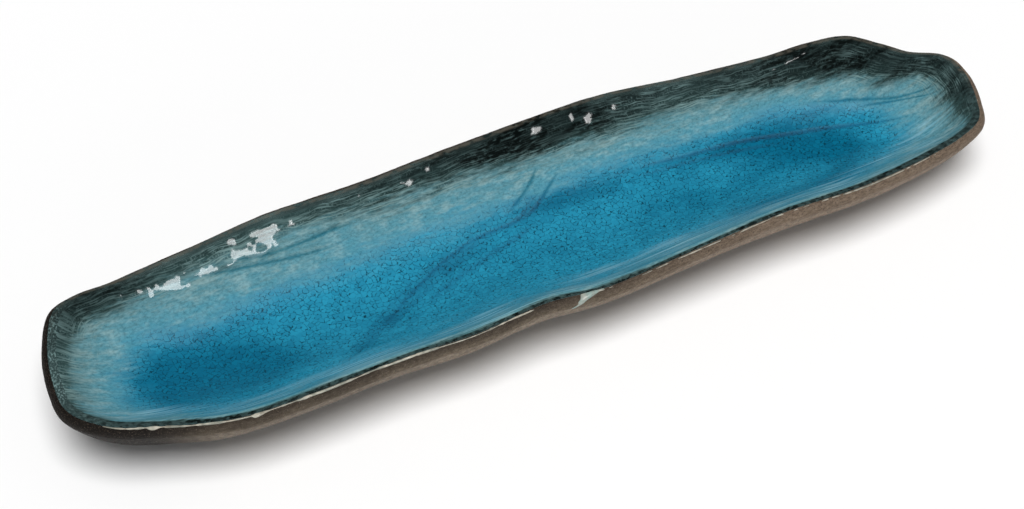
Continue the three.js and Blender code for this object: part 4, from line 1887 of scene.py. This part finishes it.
@dataclass
class Studio:
    """Floor, lamps and camera."""

    form: PlateForm
    azimuth: float = math.radians(-26.05)
    elevation: float = math.radians(48)
    distance: float = 728.8 * MM
    target: tuple[float, float, float] = (-21.3 * MM, -16.2 * MM, 30.8 * MM)
    floor_size: float = 8.0
    floor_white: float = 0.9
    floor_glow: float = 0.02
    sky: float = 0.15
    unmirrored: float = 0.97
    sun: float = 2.95
    sun_angle: float = math.radians(38)
    sun_from: tuple[float, float, float] = (-0.07, -0.23, 1.0)
    pane_glow: float = 9.5

    def build(self) -> None:
        """Sets the stage."""
        self.camera()
        self.floor()
        self.world()
        self.lamps()

    def back(self) -> Vector:
        """Direction from the target to the camera."""
        level = math.cos(self.elevation)
        x, y = math.sin(self.azimuth) * level, -math.cos(self.azimuth) * level
        return Vector((x, y, math.sin(self.elevation)))

    def camera(self) -> None:
        """Stands the camera at the photograph's angle."""
        data = bpy.data.cameras.new("camera")
        data.sensor_fit = "HORIZONTAL"
        data.sensor_width = SENSOR_WIDTH
        data.lens = FOCAL_PIXELS / IMAGE_WIDTH * SENSOR_WIDTH
        data.clip_start = 0.01
        camera = bpy.data.objects.new("camera", data)
        back = self.back()
        right = Vector((math.cos(self.azimuth), math.sin(self.azimuth), 0))
        up = back.cross(right)
        turn = Matrix((right, up, back)).transposed().to_4x4()
        spot = Vector(self.target) + Vector(self.form.shift.tolist()) + back * self.distance
        camera.matrix_world = Matrix.Translation(spot) @ turn
        bpy.context.scene.collection.objects.link(camera)
        bpy.context.scene.camera = camera

    def floor(self) -> None:
        """Lays a plain pale floor under the plate."""
        half = self.floor_size / 2
        mesh = bpy.data.meshes.new("floor")
        corners = [(-half, -half, 0), (half, -half, 0), (half, half, 0), (-half, half, 0)]
        mesh.from_pydata(corners, [], [(0, 1, 2, 3)])
        floor = bpy.data.objects.new("floor", mesh)
        bpy.context.scene.collection.objects.link(floor)
        r = Recipe("floor_finish")
        r.feed(r.surface.inputs["Base Color"], (*(self.floor_white,) * 3, 1))
        r.feed(r.surface.inputs["Roughness"], 1.0)
        r.feed(r.surface.inputs["Specular IOR Level"], 0.0)
        path = r.node("ShaderNodeLightPath", {})
        seen = r.math("MAXIMUM", path.outputs["Is Camera Ray"], path.outputs["Is Glossy Ray"])
        seen = r.math("MAXIMUM", seen, path.outputs["Is Transmission Ray"])
        r.feed(r.surface.inputs["Emission Color"], (1, 1, 1, 1))
        r.feed(r.surface.inputs["Emission Strength"], r.times(seen, self.floor_glow))
        mesh.materials.append(r.material)

    def world(self) -> None:
        """Even light from all round, white to the eye and too dim to mirror in the glaze."""
        world = bpy.data.worlds.new("studio")
        world.use_nodes = True
        tree = world.node_tree
        shader = tree.nodes["Background"]
        shader.inputs["Color"].default_value = (1, 1, 1, 1)
        path = tree.nodes.new("ShaderNodeLightPath")
        glow = self.sky
        dimmed = -self.unmirrored * self.sky
        for ray, change in (("Is Glossy Ray", dimmed), ("Is Camera Ray", 1 - self.sky)):
            part = tree.nodes.new("ShaderNodeMath")
            part.operation = "MULTIPLY_ADD"
            tree.links.new(path.outputs[ray], part.inputs[0])
            part.inputs[1].default_value = change
            if isinstance(glow, float):
                part.inputs[2].default_value = glow
            else:
                tree.links.new(glow, part.inputs[2])
            glow = part.outputs[0]
        tree.links.new(glow, shader.inputs["Strength"])
        bpy.context.scene.world = world

    def lamps(self) -> None:
        """Soft light from above and a little in front, a card, a low fill and a window."""
        sun = bpy.data.lights.new("overhead", "SUN")
        sun.energy, sun.angle = self.sun, self.sun_angle
        lamp = self.hang(sun, Vector(self.sun_from), Vector((0, 0, 0)))
        lamp.visible_glossy = False
        self.panel("card", 0.05, (1.6, 1.5), Vector((-0.13, 0.9, 1.1)), Vector((-0.13, 0.0, 0.1)))
        self.panel("front_fill", 1.3, (1.4, 0.3), Vector((-0.2, -1.3, 0.3)), Vector((0, 0, 0)))
        panes = (
            ("window_left", (0.36, 0.42), (0.198, -0.794, 0.979), (-0.12, 0.03, 0.03)),
            ("window_right", (0.3, 0.3), (0.502, -0.756, 0.949), (0.04, 0.04, 0.03)),
        )
        for name, size, place, aim in panes:
            pane = self.panel(name, self.pane_glow, size, Vector(place), Vector(aim))
            pane.visible_diffuse = False

    def panel(
        self, name: str, glow: float, size: tuple[float, float], place: Vector, aim: Vector
    ) -> bpy.types.Object:
        """Hangs a flat panel of even light.

        Args:
            name: Name of the lamp.
            glow: How bright it looks, where white paper in full light is 1.
            size: Width and height.
            place: Where its middle hangs.
            aim: Where it points.

        Returns:
            The lamp's object.
        """
        data = bpy.data.lights.new(name, "AREA")
        data.shape, data.size, data.size_y = "RECTANGLE", *size
        data.energy = glow * math.pi * size[0] * size[1]
        return self.hang(data, place, aim)

    @staticmethod
    def hang(data: bpy.types.Light, place: Vector, aim: Vector) -> bpy.types.Object:
        """Puts a lamp in place, turned towards a point.

        Args:
            data: The lamp.
            place: Where it hangs.
            aim: Where it points.

        Returns:
            The lamp's object.
        """
        lamp = bpy.data.objects.new(data.name, data)
        lamp.location = place
        lamp.rotation_euler = (place - aim).to_track_quat("Z", "Y").to_euler()
        bpy.context.scene.collection.objects.link(lamp)
        return lamp


def main() -> None:
    """Builds the plate piece by piece, then the stage."""
    logging.basicConfig(level=logging.INFO, format="%(name)s: %(message)s")
    bpy.context.scene.view_settings.view_transform = "Standard"
    form = PlateForm()
    form.align()
    Studio(form).build()
    pieces = [ClayBody(form).build(), FootRing(form).build(), *GlazeCoats(form).build()]
    pieces += [LipBead(form).build(), GlazeRun(form).build()]
    for piece in pieces:
        log.info("%s: %d faces", piece.name, len(piece.data.polygons))


if __name__ == "__main__":
    main()
